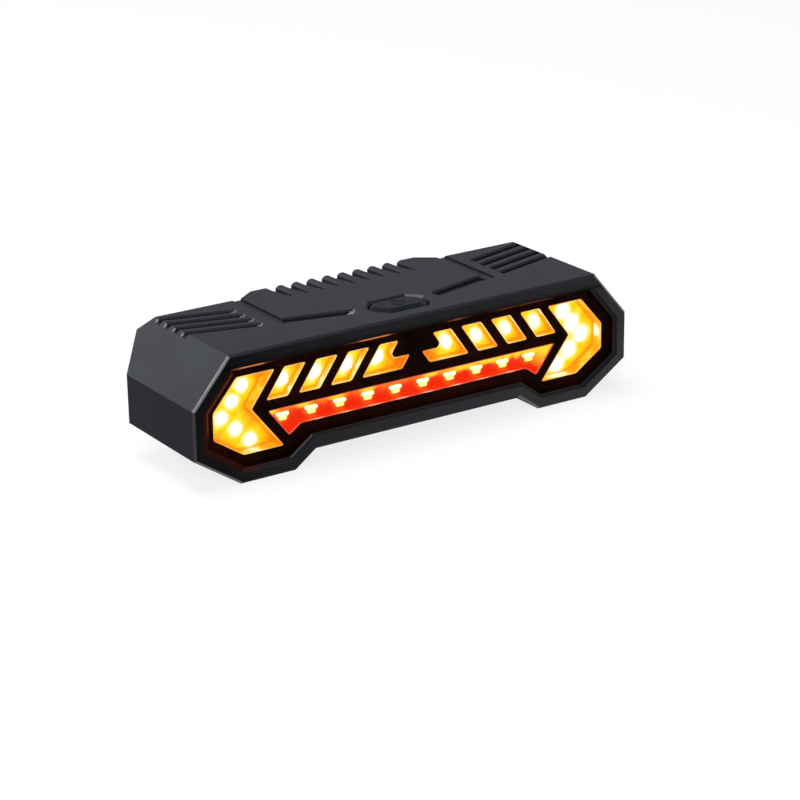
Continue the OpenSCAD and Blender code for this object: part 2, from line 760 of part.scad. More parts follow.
// A trough that starts at a place with a sloped end and a cut corner, and has a chamfer along its rear edge
module trough(place, angle, length, w, depth) {
  slope = depth * tan(relief_draft);
  recess(
    turned(
      [
        [0, -w / 2], [length, -w / 2], [length, w / 2],
        [relief_corner, w / 2], [0, (w - relief_corner) / 2]
      ],
      angle, place
    ),
    depth, [0, 0, 0, slope, slope]
  );
  recess(
    turned(
      [
        [relief_corner, 0], [length, 0], [length, w / 2 + relief_chamfer],
        [relief_corner, w / 2 + relief_chamfer]
      ],
      angle, place
    ),
    relief_chamfer, [0, 0, relief_chamfer, 0]
  );
}

module tooth_slot_cuts() {
  first_x = -(tooth_slots - 1) / 2 * tooth_pitch;
  slope = (tooth_depth_rear - tooth_depth_front) / tooth_slot_l;
  half = tooth_slot_w / 2;
  flare = tooth_shoulder / tooth_shoulder_h;
  front_share = tooth_depth_front / tooth_depth_rear;
  rear_share = 1 + slope * cut / tooth_depth_rear;
  for (k = [0 : tooth_slots - 1])
    translate([first_x + k * tooth_pitch, 0, 0]) {
      across(
        [
          [block_s - tooth_slot_l, body_h - tooth_depth_front],
          [block_s + cut, body_h - tooth_depth_rear - slope * cut],
          [block_s + cut, body_h + cut], [block_s - tooth_slot_l, body_h + cut]
        ],
        -half, half
      );
      loft(
        shoulder_ring(block_s - tooth_slot_l, half, tooth_shoulder_h * front_share, flare),
        shoulder_ring(block_s + cut, half, tooth_shoulder_h * rear_share, flare),
        [[0, 1, 2, 3]]
      );
    }
}

// The shoulders of a grip slot at a depth behind the rim: half a slot's width, their drop and their slope
function shoulder_ring(s, half, drop, flare) =
  let (wide = half + (drop + cut) * flare, y = front_y + s)
  [
    [-half, y, body_h - drop], [half, y, body_h - drop],
    [wide, y, body_h + cut], [-wide, y, body_h + cut]
  ];

module groove_cuts() {
  for (k = [0 : groove_count - 1])
    trough(
      [groove_inner_x, groove_first_s - k * groove_pitch], groove_angle, body_w / 2,
      groove_w, groove_depth
    );
}

module channel_cuts() {
  vee_run = [channel_x + vee_reach - vee_inner_x, vee_outer_s - vee_inner_s];
  block(channel_x, channel_x + channel_w, channel_s, body_d + cut, body_h - channel_depth, body_h + cut);
  trough([vee_inner_x, vee_inner_s], atan2(vee_run.y, vee_run.x), norm(vee_run), vee_w, vee_depth);
}

module pocket_cut() {
  edge = [for (p = octagon(pocket_w, pocket_l, pocket_cut_x, pocket_cut_y)) p + [0, pocket_s]];
  translate([0, front_y, pocket_floor_z])
    linear_extrude(height = pocket_depth + cut)
      polygon(edge);
  recess(inset(edge, -pocket_chamfer), pocket_chamfer_h, [for (p = edge) pocket_chamfer]);
}

module cavity_cuts() {
  rear_line = inset(rear_outline, wall);
  slab(rim_line(0), -cut, lens_ledge_s);
  slab(rim_line(lens_ledge), lens_ledge_s - root, cavity_s + root);
  intersection() {
    slab(inset(outline, wall), cavity_s, body_d);
    across(inset(side_line, [-cut, back_s - cavity_end_s, wall, wall, -cut, cavity_s]), -body_w, body_w);
  }
  slab(inset(rear_line, cover_ledge), cavity_end_s - root, cover_ledge_s + root);
  slab(rear_line, cover_ledge_s, back_s + cut);
}

module housing_posts() {
  for (post = control_posts)
    rod_z(post.x, post.y, post_r, control_top_z, ceiling_z + root);
  rod_z(0, stem_s, stem_r + guide_wall, guide_end_z, ceiling_z + root);
  for (x = charge_post_x)
    rod_z(x, charge_post_s, post_r, wall - root, charge_z);
  for (post = cover_posts)
    rod_y(post, cover_post_r, cover_s - cover_post_l, cover_s);
  both_sides() {
    block(
      cover_post_x, body_w / 2 - wall + root, cover_s - cover_post_l, cavity_end_s + root,
      cover_post_z - wall / 2, cover_post_z + wall / 2
    );
    block(
      foot_x - wall / 2, foot_x + wall / 2, cover_s - cover_post_l, cavity_end_s + root,
      wall - root, foot_post_z
    );
  }
}

module housing_bores() {
  rod_z(0, stem_s, stem_r + running_gap, guide_end_z - cut, body_h);
  for (post = control_posts)
    rod_z(post.x, post.y, screw_r, control_top_z - cut, control_z + screw_l);
  for (x = charge_post_x)
    rod_z(x, charge_post_s, screw_r, charge_top_z - screw_l, charge_z + cut);
  for (post = cover_posts)
    rod_y(post, cover_screw_r, back_s - cover_screw_head_h - cover_screw_l, cover_s + cut);
}

module main_housing() {
  color(plastic)
    difference() {
      union() {
        difference() {
          body_shape();
          cavity_cuts();
        }
        housing_posts();
      }
      tooth_slot_cuts();
      both_sides() {
        groove_cuts();
        channel_cuts();
      }
      pocket_cut();
      housing_bores();
    }
}

// Front window
module front_lens() {
  color([0.9, 0.9, 0.92, 0.3])
    slab(rim_line(fit_gap), lens_s, mask_s);
}

module lens_seal() {
  color(rubber)
    difference() {
      slab(rim_line(fit_gap), mask_back_s, lens_ledge_s);
      slab(rim_line(lens_ledge), mask_back_s - cut, lens_ledge_s + cut);
    }
}

module window_mask() {
  color(black)
    difference() {
      slab(rim_line(fit_gap), mask_s, mask_back_s);
      both_sides()
        for (window = turn_windows)
          slab(window, mask_s - cut, mask_back_s + cut);
      slab(brake_window, mask_s - cut, mask_back_s + cut);
    }
}

// Reflector trays
module tray_rivets(places) {
  for (place = places) {
    rod_y(place, rivet_r, tray_floor_s, lamp_board_back_s + rivet_head);
    rod_y(place, rivet_r + rivet_head, lamp_board_back_s, lamp_board_back_s + rivet_head);
  }
}

module tray_cells(windows, places, floor_s, hole_r) {
  for (window = windows)
    slab(inset(window, -cell_margin), mask_back_s - cut, floor_s);
  for (place = places)
    rod_y(place, hole_r, mask_back_s, tray_back_s + cut);
}

module turn_reflector() {
  color(amber) {
    difference() {
      intersection() {
        union() {
          for (window = turn_windows)
            slab(inset(window, -tray_wall), mask_back_s, tray_back_s);
          block(
            hook_reach - hook_w - bar_lean, arrow_corner.x, tray_back_s - strip_t, tray_back_s,
            bar_middle_z - strip_h / 2, bar_middle_z + strip_h / 2
          );
        }
        block(tray_gap, body_w / 2, mask_back_s, tray_back_s, 0, body_h);
      }
      tray_cells([arrow_window], arrow_places, tray_floor_s, lamp_hole_r);
      tray_cells(bar_windows, bar_places, bar_floor_s, lamp_hole_r);
    }
    tray_rivets(turn_rivets);
  }
}

module right_turn_reflector() {
  turn_reflector();
}

module left_turn_reflector() {
  mirror([1, 0, 0])
    turn_reflector();
}

module brake_reflector() {
  color(red) {
    difference() {
      slab(inset(brake_window, -tray_wall), mask_back_s, tray_back_s);
      tray_cells([brake_window], brake_places, tray_floor_s, brake_hole_r);
    }
    tray_rivets(brake_rivets);
  }
}

// Lamp board
module lamp_board() {
  color(board_green)
    difference() {
      slab(rim_line(lens_ledge + fit_gap), tray_back_s, lamp_board_back_s);
      for (place = brake_rivets)
        rod_y(place, rivet_r + running_gap, tray_back_s - cut, lamp_board_back_s + cut);
      both_sides()
        for (place = turn_rivets)
          rod_y(place, rivet_r + running_gap, tray_back_s - cut, lamp_board_back_s + cut);
    }
}

module lamps(places, out, h) {
  for (place = places)
    block(
      place.x - lamp_w / 2, place.x + lamp_w / 2, tray_back_s - out, tray_back_s,
      place.y - h / 2, place.y + h / 2
    );
}

module turn_lamps() {
  lamps(arrow_places, lamp_out, lamp_h);
  lamps(bar_places, bar_lamp_out, lamp_h);
}

module right_turn_lamps() {
  color(amber)
    turn_lamps();
}

module left_turn_lamps() {
  color(amber)
    mirror([1, 0, 0])
      turn_lamps();
}

module brake_lamps_red() {
  color(red)
    lamps(brake_places, lamp_out, brake_lamp_h);
}

// A flat cable that is soldered to the back of the lamp board and to the underside of the control board
module lamp_flex_cable() {
  flex_low_z = control_z - flex_drop;
  flex_end_s = inner_s + flex_reach;
  color([0.75, 0.45, 0.1])
    across(
      [
        [lamp_board_back_s, flex_low_z], [lamp_board_back_s + flex_t, flex_low_z],
        [lamp_board_back_s + flex_t, control_z - flex_t], [flex_end_s, control_z - flex_t],
        [flex_end_s, control_z], [lamp_board_back_s, control_z]
      ],
      -flex_x - flex_w, -flex_x
    );
}

// Control board
module control_board() {
  color(board_green)
    difference() {
      block(-control_w / 2, control_w / 2, inner_s, inner_s + control_d, control_z, control_top_z);
      for (post = control_posts)
        rod_z(post.x, post.y, screw_r + running_gap, control_z - cut, control_top_z + cut);
    }
}

module chip(x, s, w, l, h) {
  block(x - w / 2, x + w / 2, s - l / 2, s + l / 2, control_top_z, control_top_z + h);
}

// Controller with its radio receiver, charging controller, coil and a row of small capacitors
module control_board_parts() {
  middle_s = inner_s + control_d / 2;
  color(black) {
    chip(-controller_x, middle_s, controller_w, controller_w, chip_h);
    chip(charger_x, middle_s, charger_w, charger_w, chip_h);
    chip(coil_x, middle_s, coil_w, coil_w, coil_h);
  }
  color([0.7, 0.6, 0.45])
    for (k = [0 : capacitor_count - 1])
      chip(
        (k - (capacitor_count - 1) / 2) * capacitor_pitch, inner_s + control_d - capacitor_l,
        capacitor_w, capacitor_l, capacitor_w
      );
}

module control_board_screws() {
  color(steel)
    for (post = control_posts) {
      rod_z(post.x, post.y, screw_head_r, control_z - screw_head_h, control_z);
      rod_z(post.x, post.y, screw_r, control_z - root, control_z + screw_l);
    }
}

module switch_body() {
  plunger_floor_z = switch_top_z - plunger_in - button_travel - fit_gap;
  color(black)
    difference() {
      block(
        -switch_w / 2, switch_w / 2, stem_s - switch_w / 2, stem_s + switch_w / 2,
        control_top_z, switch_top_z
      );
      rod_z(0, stem_s, plunger_r + running_gap, plunger_floor_z, switch_top_z + cut);
    }
}

module switch_plunger() {
  color([0.85, 0.85, 0.8])
    rod_z(0, stem_s, plunger_r, switch_top_z - plunger_in, plunger_top_z);
}

// Button
module power_mark() {
  difference() {
    rod_z(0, pocket_s, mark_r, button_top_z - mark_depth, button_top_z + cut);
    rod_z(0, pocket_s, mark_r - mark_w, button_top_z - cut, button_top_z + 2 * cut);
    block(
      -1.8 * mark_w, 1.8 * mark_w, pocket_s, pocket_s + 2 * mark_r,
      button_top_z - cut, button_top_z + 2 * cut
    );
  }
  block(
    -mark_w / 2, mark_w / 2, pocket_s, pocket_s + 1.3 * mark_r, button_top_z - mark_depth, button_top_z + cut
  );
}

module button_cap() {
  shoulder_z = button_top_z - button_bevel_h;
  base = inset(octagon(pocket_w, pocket_l, pocket_cut_x, pocket_cut_y), button_gap);
  face = inset(base, button_bevel_w);
  groove_z = clip_top_z - clip_t;
  color([0.13, 0.14, 0.17])
    difference() {
      union() {
        translate([0, front_y + pocket_s, button_bottom_z])
          linear_extrude(height = shoulder_z - button_bottom_z)
            polygon(base);
        loft(
          [for (p = face) [p.x, front_y + pocket_s + p.y, button_top_z]],
          [for (p = base) [p.x, front_y + pocket_s + p.y, shoulder_z]],
          [[for (i = [0 : len(base) - 1]) i]]
        );
        rod_z(0, stem_s, stem_r, stem_end_z, button_bottom_z + root);
      }
      power_mark();
      difference() {
        rod_z(0, stem_s, stem_r + cut, groove_z, clip_top_z);
        rod_z(0, stem_s, stem_r - clip_groove, groove_z - cut, clip_top_z + cut);
      }
    }
}

module button_clip() {
  color(steel)
    difference() {
      rod_z(0, stem_s, stem_r + clip_out, clip_top_z - clip_t, clip_top_z);
      rod_z(0, stem_s, stem_r - clip_groove, clip_top_z - clip_t - cut, clip_top_z + cut);
    }
}

module button_seal() {
  seal_r = stem_r + running_gap + fit_gap;
  color(rubber)
    difference() {
      rod_z(0, stem_s, seal_r + button_seal_w, pocket_floor_z, pocket_floor_z + button_seal_t);
      rod_z(0, stem_s, seal_r, pocket_floor_z - cut, pocket_floor_z + button_seal_t + cut);
    }
}

// Battery
module battery() {
  color([0.55, 0.6, 0.66])
    block(
      -battery_w / 2, battery_w / 2, inner_s, inner_s + battery_d, battery_z, battery_z + battery_t
    );
}

module battery_pad() {
  color([0.2, 0.2, 0.22])
    block(
      pad_inset - battery_w / 2, battery_w / 2 - pad_inset,
      inner_s + pad_inset, inner_s + battery_d - pad_inset, floor_z, battery_z
    );
}

module battery_wires() {
  bend_x = (battery_w + control_w) / 4;
  wire_z = battery_z + battery_t / 2;
  for (k = [0, 1])
    color(k == 0 ? "firebrick" : "black") {
      s = inner_s + control_d / 2 + wire_pitch * (k - 0.5);
      rod_x(s, wire_z, wire_r, battery_w / 2, bend_x);
      translate([bend_x, front_y + s, wire_z])
        sphere(r = wire_r);
      rod_z(bend_x, s, wire_r, wire_z, control_z);
    }
}

// Charging port
module charge_board() {
  color(board_green)
    difference() {
      block(foot_x - charge_w / 2, foot_x + charge_w / 2, charge_s, charge_end_s, charge_z, charge_top_z);
      for (x = charge_post_x)
        rod_z(x, charge_post_s, screw_r + running_gap, charge_z - cut, charge_top_z + cut);
    }
}

module charge_board_screws() {
  color(steel)
    for (x = charge_post_x) {
      rod_z(x, charge_post_s, screw_head_r, charge_top_z, charge_top_z + screw_head_h);
      rod_z(x, charge_post_s, screw_r, charge_top_z - screw_l, charge_top_z + root);
    }
}

module charge_wires() {
  start_x = foot_x - charge_w / 2 + 2 * wire_r;
  bend_z = (charge_top_z + control_z) / 2;
  end_x = control_w / 2 - wire_inset;
  for (k = [0, 1])
    color(k == 0 ? "firebrick" : "black") {
      s = charge_post_s + post_r + wire_pitch * k;
      rod_z(start_x, s, wire_r, charge_top_z, bend_z);
      translate([start_x, front_y + s, bend_z])
        sphere(r = wire_r);
      rod_x(s, bend_z, wire_r, end_x, start_x);
      translate([end_x, front_y + s, bend_z])
        sphere(r = wire_r);
      rod_z(end_x, s, wire_r, bend_z, control_z);
    }
}

module usb_shell() {
  place = [foot_x, port_z];
  color(steel)
    difference() {
      stadium_rod(port_w, port_h, place, flap_recess_s - port_l, flap_recess_s);
      stadium_rod(
        port_w - 2 * port_wall, port_h - 2 * port_wall, place,
        flap_recess_s - port_l + 2 * port_wall, flap_recess_s + cut
      );
    }
}

module usb_tongue() {
  tongue_w = port_w - port_h + 2 * port_wall;
  color(black)
    block(
      foot_x - tongue_w / 2, foot_x + tongue_w / 2,
      flap_recess_s - port_l + 2 * port_wall, flap_recess_s - tongue_setback,
      port_z - tongue_t / 2, port_z + tongue_t / 2
    );
}

// Rear cover
module rear_cover() {
  color(plastic)
    difference() {
      union() {
        slab(inset(rear_outline, wall + fit_gap), cover_s, back_s);
        block(
          -bracket_pad_w / 2, bracket_pad_w / 2, back_s - root, bracket_pad_s,
          bracket_z - bracket_pad_h / 2, bracket_z + bracket_pad_h / 2
        );
        for (place = bracket_places)
          rod_y(place, insert_r + insert_wall, insert_s - insert_wall, cover_s + root);
      }
      for (place = bracket_places)
        rod_y(place, insert_r, insert_s, bracket_pad_s + cut);
      for (post = cover_posts) {
        rod_y(post, cover_screw_r + running_gap, cover_s - cut, back_s + cut);
        rod_y(post, cover_screw_head_r + running_gap, back_s - cover_screw_head_h, back_s + cut);
      }
      stadium_rod(
        port_w + 2 * port_gap, port_h + 2 * port_gap, [foot_x, port_z], cover_s - cut, back_s
      );
      block(
        foot_x - flap_w / 2 - flap_gap, foot_x + flap_w / 2 + flap_gap, flap_recess_s, back_s + cut,
        flap_low_z - flap_gap, flap_axis_z + flap_t / 2 + flap_gap
      );
      rod_x(
        flap_axis_s, flap_axis_z, trunnion_r + running_gap,
        foot_x - flap_w / 2 - trunnion_l - 2 * running_gap,
        foot_x + flap_w / 2 + trunnion_l + 2 * running_gap
      );
    }
}

module rear_cover_seal() {
  color(rubber)
    difference() {
      slab(inset(rear_outline, wall + fit_gap), cover_ledge_s, cover_s);
      slab(inset(rear_outline, wall + cover_ledge - fit_gap), cover_ledge_s - cut, cover_s + cut);
    }
}

module rear_cover_screws() {
  head_s = back_s - cover_screw_head_h;
  color(steel)
    for (post = cover_posts)
      difference() {
        union() {
          rod_y(post, cover_screw_head_r, head_s, back_s - fit_gap);
          rod_y(post, cover_screw_r, head_s - cover_screw_l, head_s + root);
        }
        for (turn = [0, 90])
          translate([post.x, front_y + back_s, post.y])
            rotate([0, turn, 0])
              cube([2 * cover_screw_r, 2 * cross_depth, cross_w], center = true);
      }
}

module bracket_inserts() {
  color(brass)
    for (place = bracket_places)
      difference() {
        rod_y(place, insert_r, insert_s, bracket_pad_s);
        rod_y(place, bracket_hole_r, insert_s - cut, bracket_pad_s + cut);
      }
}

// A flap that turns up about two short pins at its upper edge
module port_flap() {
  color(rubber) {
    difference() {
      union() {
        block(
          foot_x - flap_w / 2, foot_x + flap_w / 2, back_s - flap_t, back_s, flap_low_z, flap_axis_z
        );
        rod_x(flap_axis_s, flap_axis_z, flap_t / 2, foot_x - flap_w / 2, foot_x + flap_w / 2);
      }
      rod_y([foot_x, flap_low_z], flap_notch_r, back_s - flap_t / 2, back_s + cut);
    }
    rod_x(
      flap_axis_s, flap_axis_z, trunnion_r,
      foot_x - flap_w / 2 - trunnion_l, foot_x + flap_w / 2 + trunnion_l
    );
  }
}

main_housing();
front_lens();
lens_seal();
window_mask();
left_turn_reflector();
right_turn_reflector();
brake_reflector();
lamp_board();
left_turn_lamps();
right_turn_lamps();
brake_lamps_red();
lamp_flex_cable();
control_board();
control_board_parts();
control_board_screws();
switch_body();
switch_plunger();
button_cap();
button_clip();
button_seal();
battery();
battery_pad();
battery_wires();
charge_board();
charge_board_screws();
charge_wires();
usb_shell();
usb_tongue();
rear_cover();
rear_cover_seal();
rear_cover_screws();
bracket_inserts();
port_flap();
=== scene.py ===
import math

import bmesh
import bpy
from mathutils import Matrix, Vector


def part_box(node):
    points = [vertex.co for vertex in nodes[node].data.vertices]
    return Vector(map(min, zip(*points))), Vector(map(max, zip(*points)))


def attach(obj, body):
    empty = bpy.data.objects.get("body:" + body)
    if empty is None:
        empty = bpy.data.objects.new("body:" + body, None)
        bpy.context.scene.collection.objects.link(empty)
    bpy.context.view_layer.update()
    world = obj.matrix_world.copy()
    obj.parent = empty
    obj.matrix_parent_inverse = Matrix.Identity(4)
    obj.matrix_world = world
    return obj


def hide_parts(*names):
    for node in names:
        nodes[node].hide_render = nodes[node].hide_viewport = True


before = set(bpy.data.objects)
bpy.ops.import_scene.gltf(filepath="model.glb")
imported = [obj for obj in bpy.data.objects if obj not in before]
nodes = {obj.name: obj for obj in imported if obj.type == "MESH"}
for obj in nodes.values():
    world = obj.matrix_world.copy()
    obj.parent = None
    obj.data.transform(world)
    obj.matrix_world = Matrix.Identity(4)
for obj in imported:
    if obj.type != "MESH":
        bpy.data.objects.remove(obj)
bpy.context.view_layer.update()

scene = bpy.context.scene
scene.view_settings.view_transform = "Standard"
MM = 0.001


# The camera, at the photograph's view

CAMERA_AT = (-0.28210, -0.43832, 0.19578)
CAMERA_TURN, CAMERA_HEIGHT, CAMERA_ROLL = math.radians(-33.303), math.radians(20.235), math.radians(-0.832)
CAMERA_LENS, CAMERA_SENSOR = 114.56, 36
CAMERA_NEAR, CAMERA_FAR = 0.01, 20


def aim_camera():
    level = math.cos(CAMERA_HEIGHT)
    back = Vector((math.sin(CAMERA_TURN) * level, -math.cos(CAMERA_TURN) * level, math.sin(CAMERA_HEIGHT)))
    across = (-back).cross(Vector((0, 0, 1))).normalized()
    upward = across.cross(-back)
    right = math.cos(CAMERA_ROLL) * across + math.sin(CAMERA_ROLL) * upward
    up = -math.sin(CAMERA_ROLL) * across + math.cos(CAMERA_ROLL) * upward
    data = bpy.data.cameras.new("photo_camera")
    data.sensor_width, data.lens = CAMERA_SENSOR, CAMERA_LENS
    data.clip_start, data.clip_end = CAMERA_NEAR, CAMERA_FAR
    camera = bpy.data.objects.new("photo_camera", data)
    scene.collection.objects.link(camera)
    turned = Matrix((right, up, back)).transposed().to_4x4()
    camera.matrix_world = Matrix.Translation(CAMERA_AT) @ turned
    scene.camera = camera


aim_camera()


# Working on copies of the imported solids

SAME_PLACE = 0.002 * MM
FLAT_ANGLE = math.radians(0.5)
SHARP_FOLD = 33


def join_flat_faces(shape):
    bmesh.ops.dissolve_limit(
        shape, angle_limit=FLAT_ANGLE, use_dissolve_boundaries=False, verts=shape.verts, edges=shape.edges
    )


def merged_copy(node):
    """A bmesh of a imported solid, with its loose triangles joined into flat faces."""
    shape = bmesh.new()
    shape.from_mesh(nodes[node].data)
    bmesh.ops.remove_doubles(shape, verts=shape.verts, dist=SAME_PLACE)
    join_flat_faces(shape)
    return shape


def fold(edge):
    """How far an edge turns outwards, in degrees; hollow edges are negative."""
    return math.degrees(edge.calc_face_angle_signed(0)) if len(edge.link_faces) == 2 else 0


def middle(element):
    """The mean of the corners of a face or an edge."""
    return sum((v.co for v in element.verts), Vector()) / len(element.verts)


def is_upright(face):
    """Whether a face stands square to the front, as the walls of a window do."""
    return abs(face.normal.y) < 0.3


def edges_along_depth(shape, least=0, most=180):
    """Edges that run from front to back and fold between two angles, in degrees."""
    return [
        e for e in shape.edges
        if abs((e.verts[0].co - e.verts[1].co).normalized().y) > 0.99 and least <= abs(fold(e)) <= most
    ]


def round_edges(shape, edges, radius, segments=2):
    if edges:
        bmesh.ops.bevel(
            shape, geom=edges, offset=radius, offset_type="OFFSET", affect="EDGES",
            segments=segments, profile=0.5, material=-1, clamp_overlap=True,
        )


def inset_ring(shape, faces, width):
    """Cuts a ring off the outside of a group of faces; the group keeps what lies inside."""
    return bmesh.ops.inset_region(shape, faces=faces, thickness=width, depth=0.0, use_even_offset=True)["faces"]


def soften_rounded_edges(shape, widest=0.12 * MM):
    """Smooth shading on the narrow faces of rounded edges; the wide faces stay flat."""
    for face in shape.faces:
        face.smooth = face.calc_area() / max(e.calc_length() for e in face.edges) < widest


def finished_piece(shape, name, body, finishes, stands_for, soft=True):
    """Turns a bmesh into a piece of the light that rides on a body."""
    for edge in shape.edges:
        edge.smooth = abs(fold(edge)) < SHARP_FOLD
    for face in shape.faces:
        face.smooth = soft or face.smooth
    mesh = bpy.data.meshes.new(name)
    shape.to_mesh(mesh)
    shape.free()
    for finish in finishes:
        mesh.materials.append(finish)
    piece = bpy.data.objects.new(name, mesh)
    scene.collection.objects.link(piece)
    if soft:
        flat = piece.modifiers.new("flat_faces_stay_flat", "WEIGHTED_NORMAL")
        flat.keep_sharp = True
        flat.weight = 100
    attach(piece, body)
    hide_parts(*stands_for)


def lamp_places(node):
    """The middle of each lamp's front in a packed lamp node, from left to right."""
    shape = merged_copy(node)
    left, places = set(shape.verts), []
    while left:
        group, edge_of_group = set(), [left.pop()]
        while edge_of_group:
            vert = edge_of_group.pop()
            group.add(vert)
            for link in vert.link_edges:
                other = link.other_vert(vert)
                if other in left:
                    left.remove(other)
                    edge_of_group.append(other)
        place = sum((v.co for v in group), Vector()) / len(group)
        place.y = min(v.co.y for v in group)
        places.append(place)
    shape.free()
    return sorted(places, key=lambda p: p.x)


TURN_LAMPS = {side: lamp_places(side + "_turn_lamps") for side in ("left", "right")}
BRAKE_LAMPS = lamp_places("brake_lamps_red")
BOTH_TURN_LAMPS = TURN_LAMPS["left"] + TURN_LAMPS["right"]
ARROW_FROM_MIDDLE = 37 * MM


# Finishes: the nodes they are made of

BLACK, WHITE = (0.0, 0.0, 0.0), (1.0, 1.0, 1.0)


def new_finish(name):
    finish = bpy.data.materials.new(name)
    finish.use_nodes = True
    tree = finish.node_tree
    shader = tree.nodes["Principled BSDF"]
    place = tree.nodes.new("ShaderNodeTexCoord").outputs["Object"]
    return finish, tree, shader, place


def noise(tree, place, size, detail=2.0, rough=0.5):
    """Noise with lumps of about a given size in metres."""
    made = tree.nodes.new("ShaderNodeTexNoise")
    tree.links.new(place, made.inputs["Vector"])
    made.inputs["Scale"].default_value = 1 / size
    made.inputs["Detail"].default_value = detail
    made.inputs["Roughness"].default_value = rough
    return made.outputs["Fac"]


def between(tree, level, low, high, from_low=0.3, from_high=0.7):
    """A level mapped from one range to another; 0.3 to 0.7 is what noise mostly fills."""
    made = tree.nodes.new("ShaderNodeMapRange")
    tree.links.new(level, made.inputs["Value"])
    made.inputs["From Min"].default_value = from_low
    made.inputs["From Max"].default_value = from_high
    made.inputs["To Min"].default_value = low
    made.inputs["To Max"].default_value = high
    return made.outputs["Result"]


def split_place(tree, place):
    made = tree.nodes.new("ShaderNodeSeparateXYZ")
    tree.links.new(place, made.inputs[0])
    return made.outputs


def left_end(tree, place, full, none):
    """1 at the light's left end, falling to 0 towards the middle."""
    return between(tree, split_place(tree, place)["X"], 1.0, 0.0, full, none)


def ramp(tree, level, stops):
    """Colours along a level; stops are (level, (r, g, b))."""
    made = tree.nodes.new("ShaderNodeValToRGB")
    tree.links.new(level, made.inputs["Fac"])
    elements = made.color_ramp.elements
    while len(elements) < len(stops):
        elements.new(0.5)
    for element, (at, colour) in zip(elements, stops):
        element.position = at
        element.color = (*colour, 1)
    return made.outputs["Color"]


def maths(tree, operation, a, b, c=None):
    made = tree.nodes.new("ShaderNodeMath")
    made.operation = operation
    for socket, value in zip(made.inputs, (a, b, c)):
        if value is None:
            continue
        if isinstance(value, (int, float)):
            socket.default_value = value
        else:
            tree.links.new(value, socket)
    return made.outputs[0]


def product(tree, level, *factors):
    for factor in factors:
        level = maths(tree, "MULTIPLY", level, factor)
    return level


def blended(tree, share, a, b):
    """Colour a where share is 0, colour b where it is 1."""
    made = tree.nodes.new("ShaderNodeMix")
    made.data_type = "RGBA"
    tree.links.new(share, made.inputs["Factor"])
    for socket, value in ((made.inputs[6], a), (made.inputs[7], b)):
        if isinstance(value, tuple):
            socket.default_value = (*value, 1)
        else:
            tree.links.new(value, socket)
    return made.outputs[2]


def bump(tree, shader, height, strength, depth):
    made = tree.nodes.new("ShaderNodeBump")
    made.inputs["Strength"].default_value = strength
    made.inputs["Distance"].default_value = depth
    tree.links.new(height, made.inputs["Height"])
    tree.links.new(made.outputs["Normal"], shader.inputs["Normal"])


def glowing(shader, tree, colour):
    tree.links.new(colour, shader.inputs["Emission Color"])
    shader.inputs["Emission Strength"].default_value = 1.0


def nearest_lamp(tree, place, round_lamps, long_lamps=(), spread=(0.8, 0.8, 1.25), lean=35.0, merge=0.5 * MM):
    """Distance to the nearest lamp; lamps in slanted cells spread along their cell."""
    distances = []
    for lamp in round_lamps:
        made = tree.nodes.new("ShaderNodeVectorMath")
        made.operation = "DISTANCE"
        tree.links.new(place, made.inputs[0])
        made.inputs[1].default_value = lamp
        distances.append(made.outputs["Value"])
    for lamp in long_lamps:
        turned = tree.nodes.new("ShaderNodeMapping")
        turned.vector_type = "TEXTURE"
        tree.links.new(place, turned.inputs["Vector"])
        turned.inputs["Location"].default_value = lamp
        turned.inputs["Rotation"].default_value = (0, math.radians(lean if lamp.x < 0 else -lean), 0)
        turned.inputs["Scale"].default_value = spread
        made = tree.nodes.new("ShaderNodeVectorMath")
        made.operation = "LENGTH"
        tree.links.new(turned.outputs["Vector"], made.inputs[0])
        distances.append(made.outputs["Value"])
    nearest = distances[0]
    for distance in distances[1:]:
        nearest = maths(tree, "SMOOTH_MIN", nearest, distance, merge)
    return nearest


LAMP_REACH = 10 * MM
HARDLY_MERGED = 0.001 * MM


def lamp_level(tree, away, uneven):
    """An uneven distance to a lamp, as a share of how far a lamp reaches."""
    return maths(tree, "DIVIDE", maths(tree, "ADD", away, uneven), LAMP_REACH)


# Finishes: plastic, rubber and metal

FINE_GRAIN = 0.28 * MM
FAINT_GLOSS = 0.02


def spark_eroded_plastic(name, dark, light, rough, grain=FINE_GRAIN, strength=0.35, gloss=FAINT_GLOSS):
    """Moulded plastic with the fine even grain of an eroded mould."""
    finish, tree, shader, place = new_finish(name)
    lumps = noise(tree, place, 14 * MM, 3)
    speck = noise(tree, place, grain, 3, 0.6)
    level = maths(tree, "ADD", maths(tree, "MULTIPLY", lumps, 0.25), maths(tree, "MULTIPLY", speck, 0.75))
    tree.links.new(ramp(tree, level, [(0.35, dark), (0.65, light)]), shader.inputs["Base Color"])
    tree.links.new(between(tree, speck, rough - 0.07, rough + 0.07), shader.inputs["Roughness"])
    shader.inputs["Specular IOR Level"].default_value = gloss
    bump(tree, shader, speck, strength, 0.05 * MM)
    return finish


def plain_plastic(name, dark, light, rough, grain=0.6 * MM, strength=0.1, gloss=0.5):
    """Plastic, rubber or foam with a faint speck."""
    finish, tree, shader, place = new_finish(name)
    shader.inputs["Specular IOR Level"].default_value = gloss
    speck = noise(tree, place, grain, 2)
    tree.links.new(ramp(tree, speck, [(0.3, dark), (0.7, light)]), shader.inputs["Base Color"])
    tree.links.new(between(tree, speck, rough - 0.05, rough + 0.05), shader.inputs["Roughness"])
    bump(tree, shader, speck, strength, 0.03 * MM)
    return finish


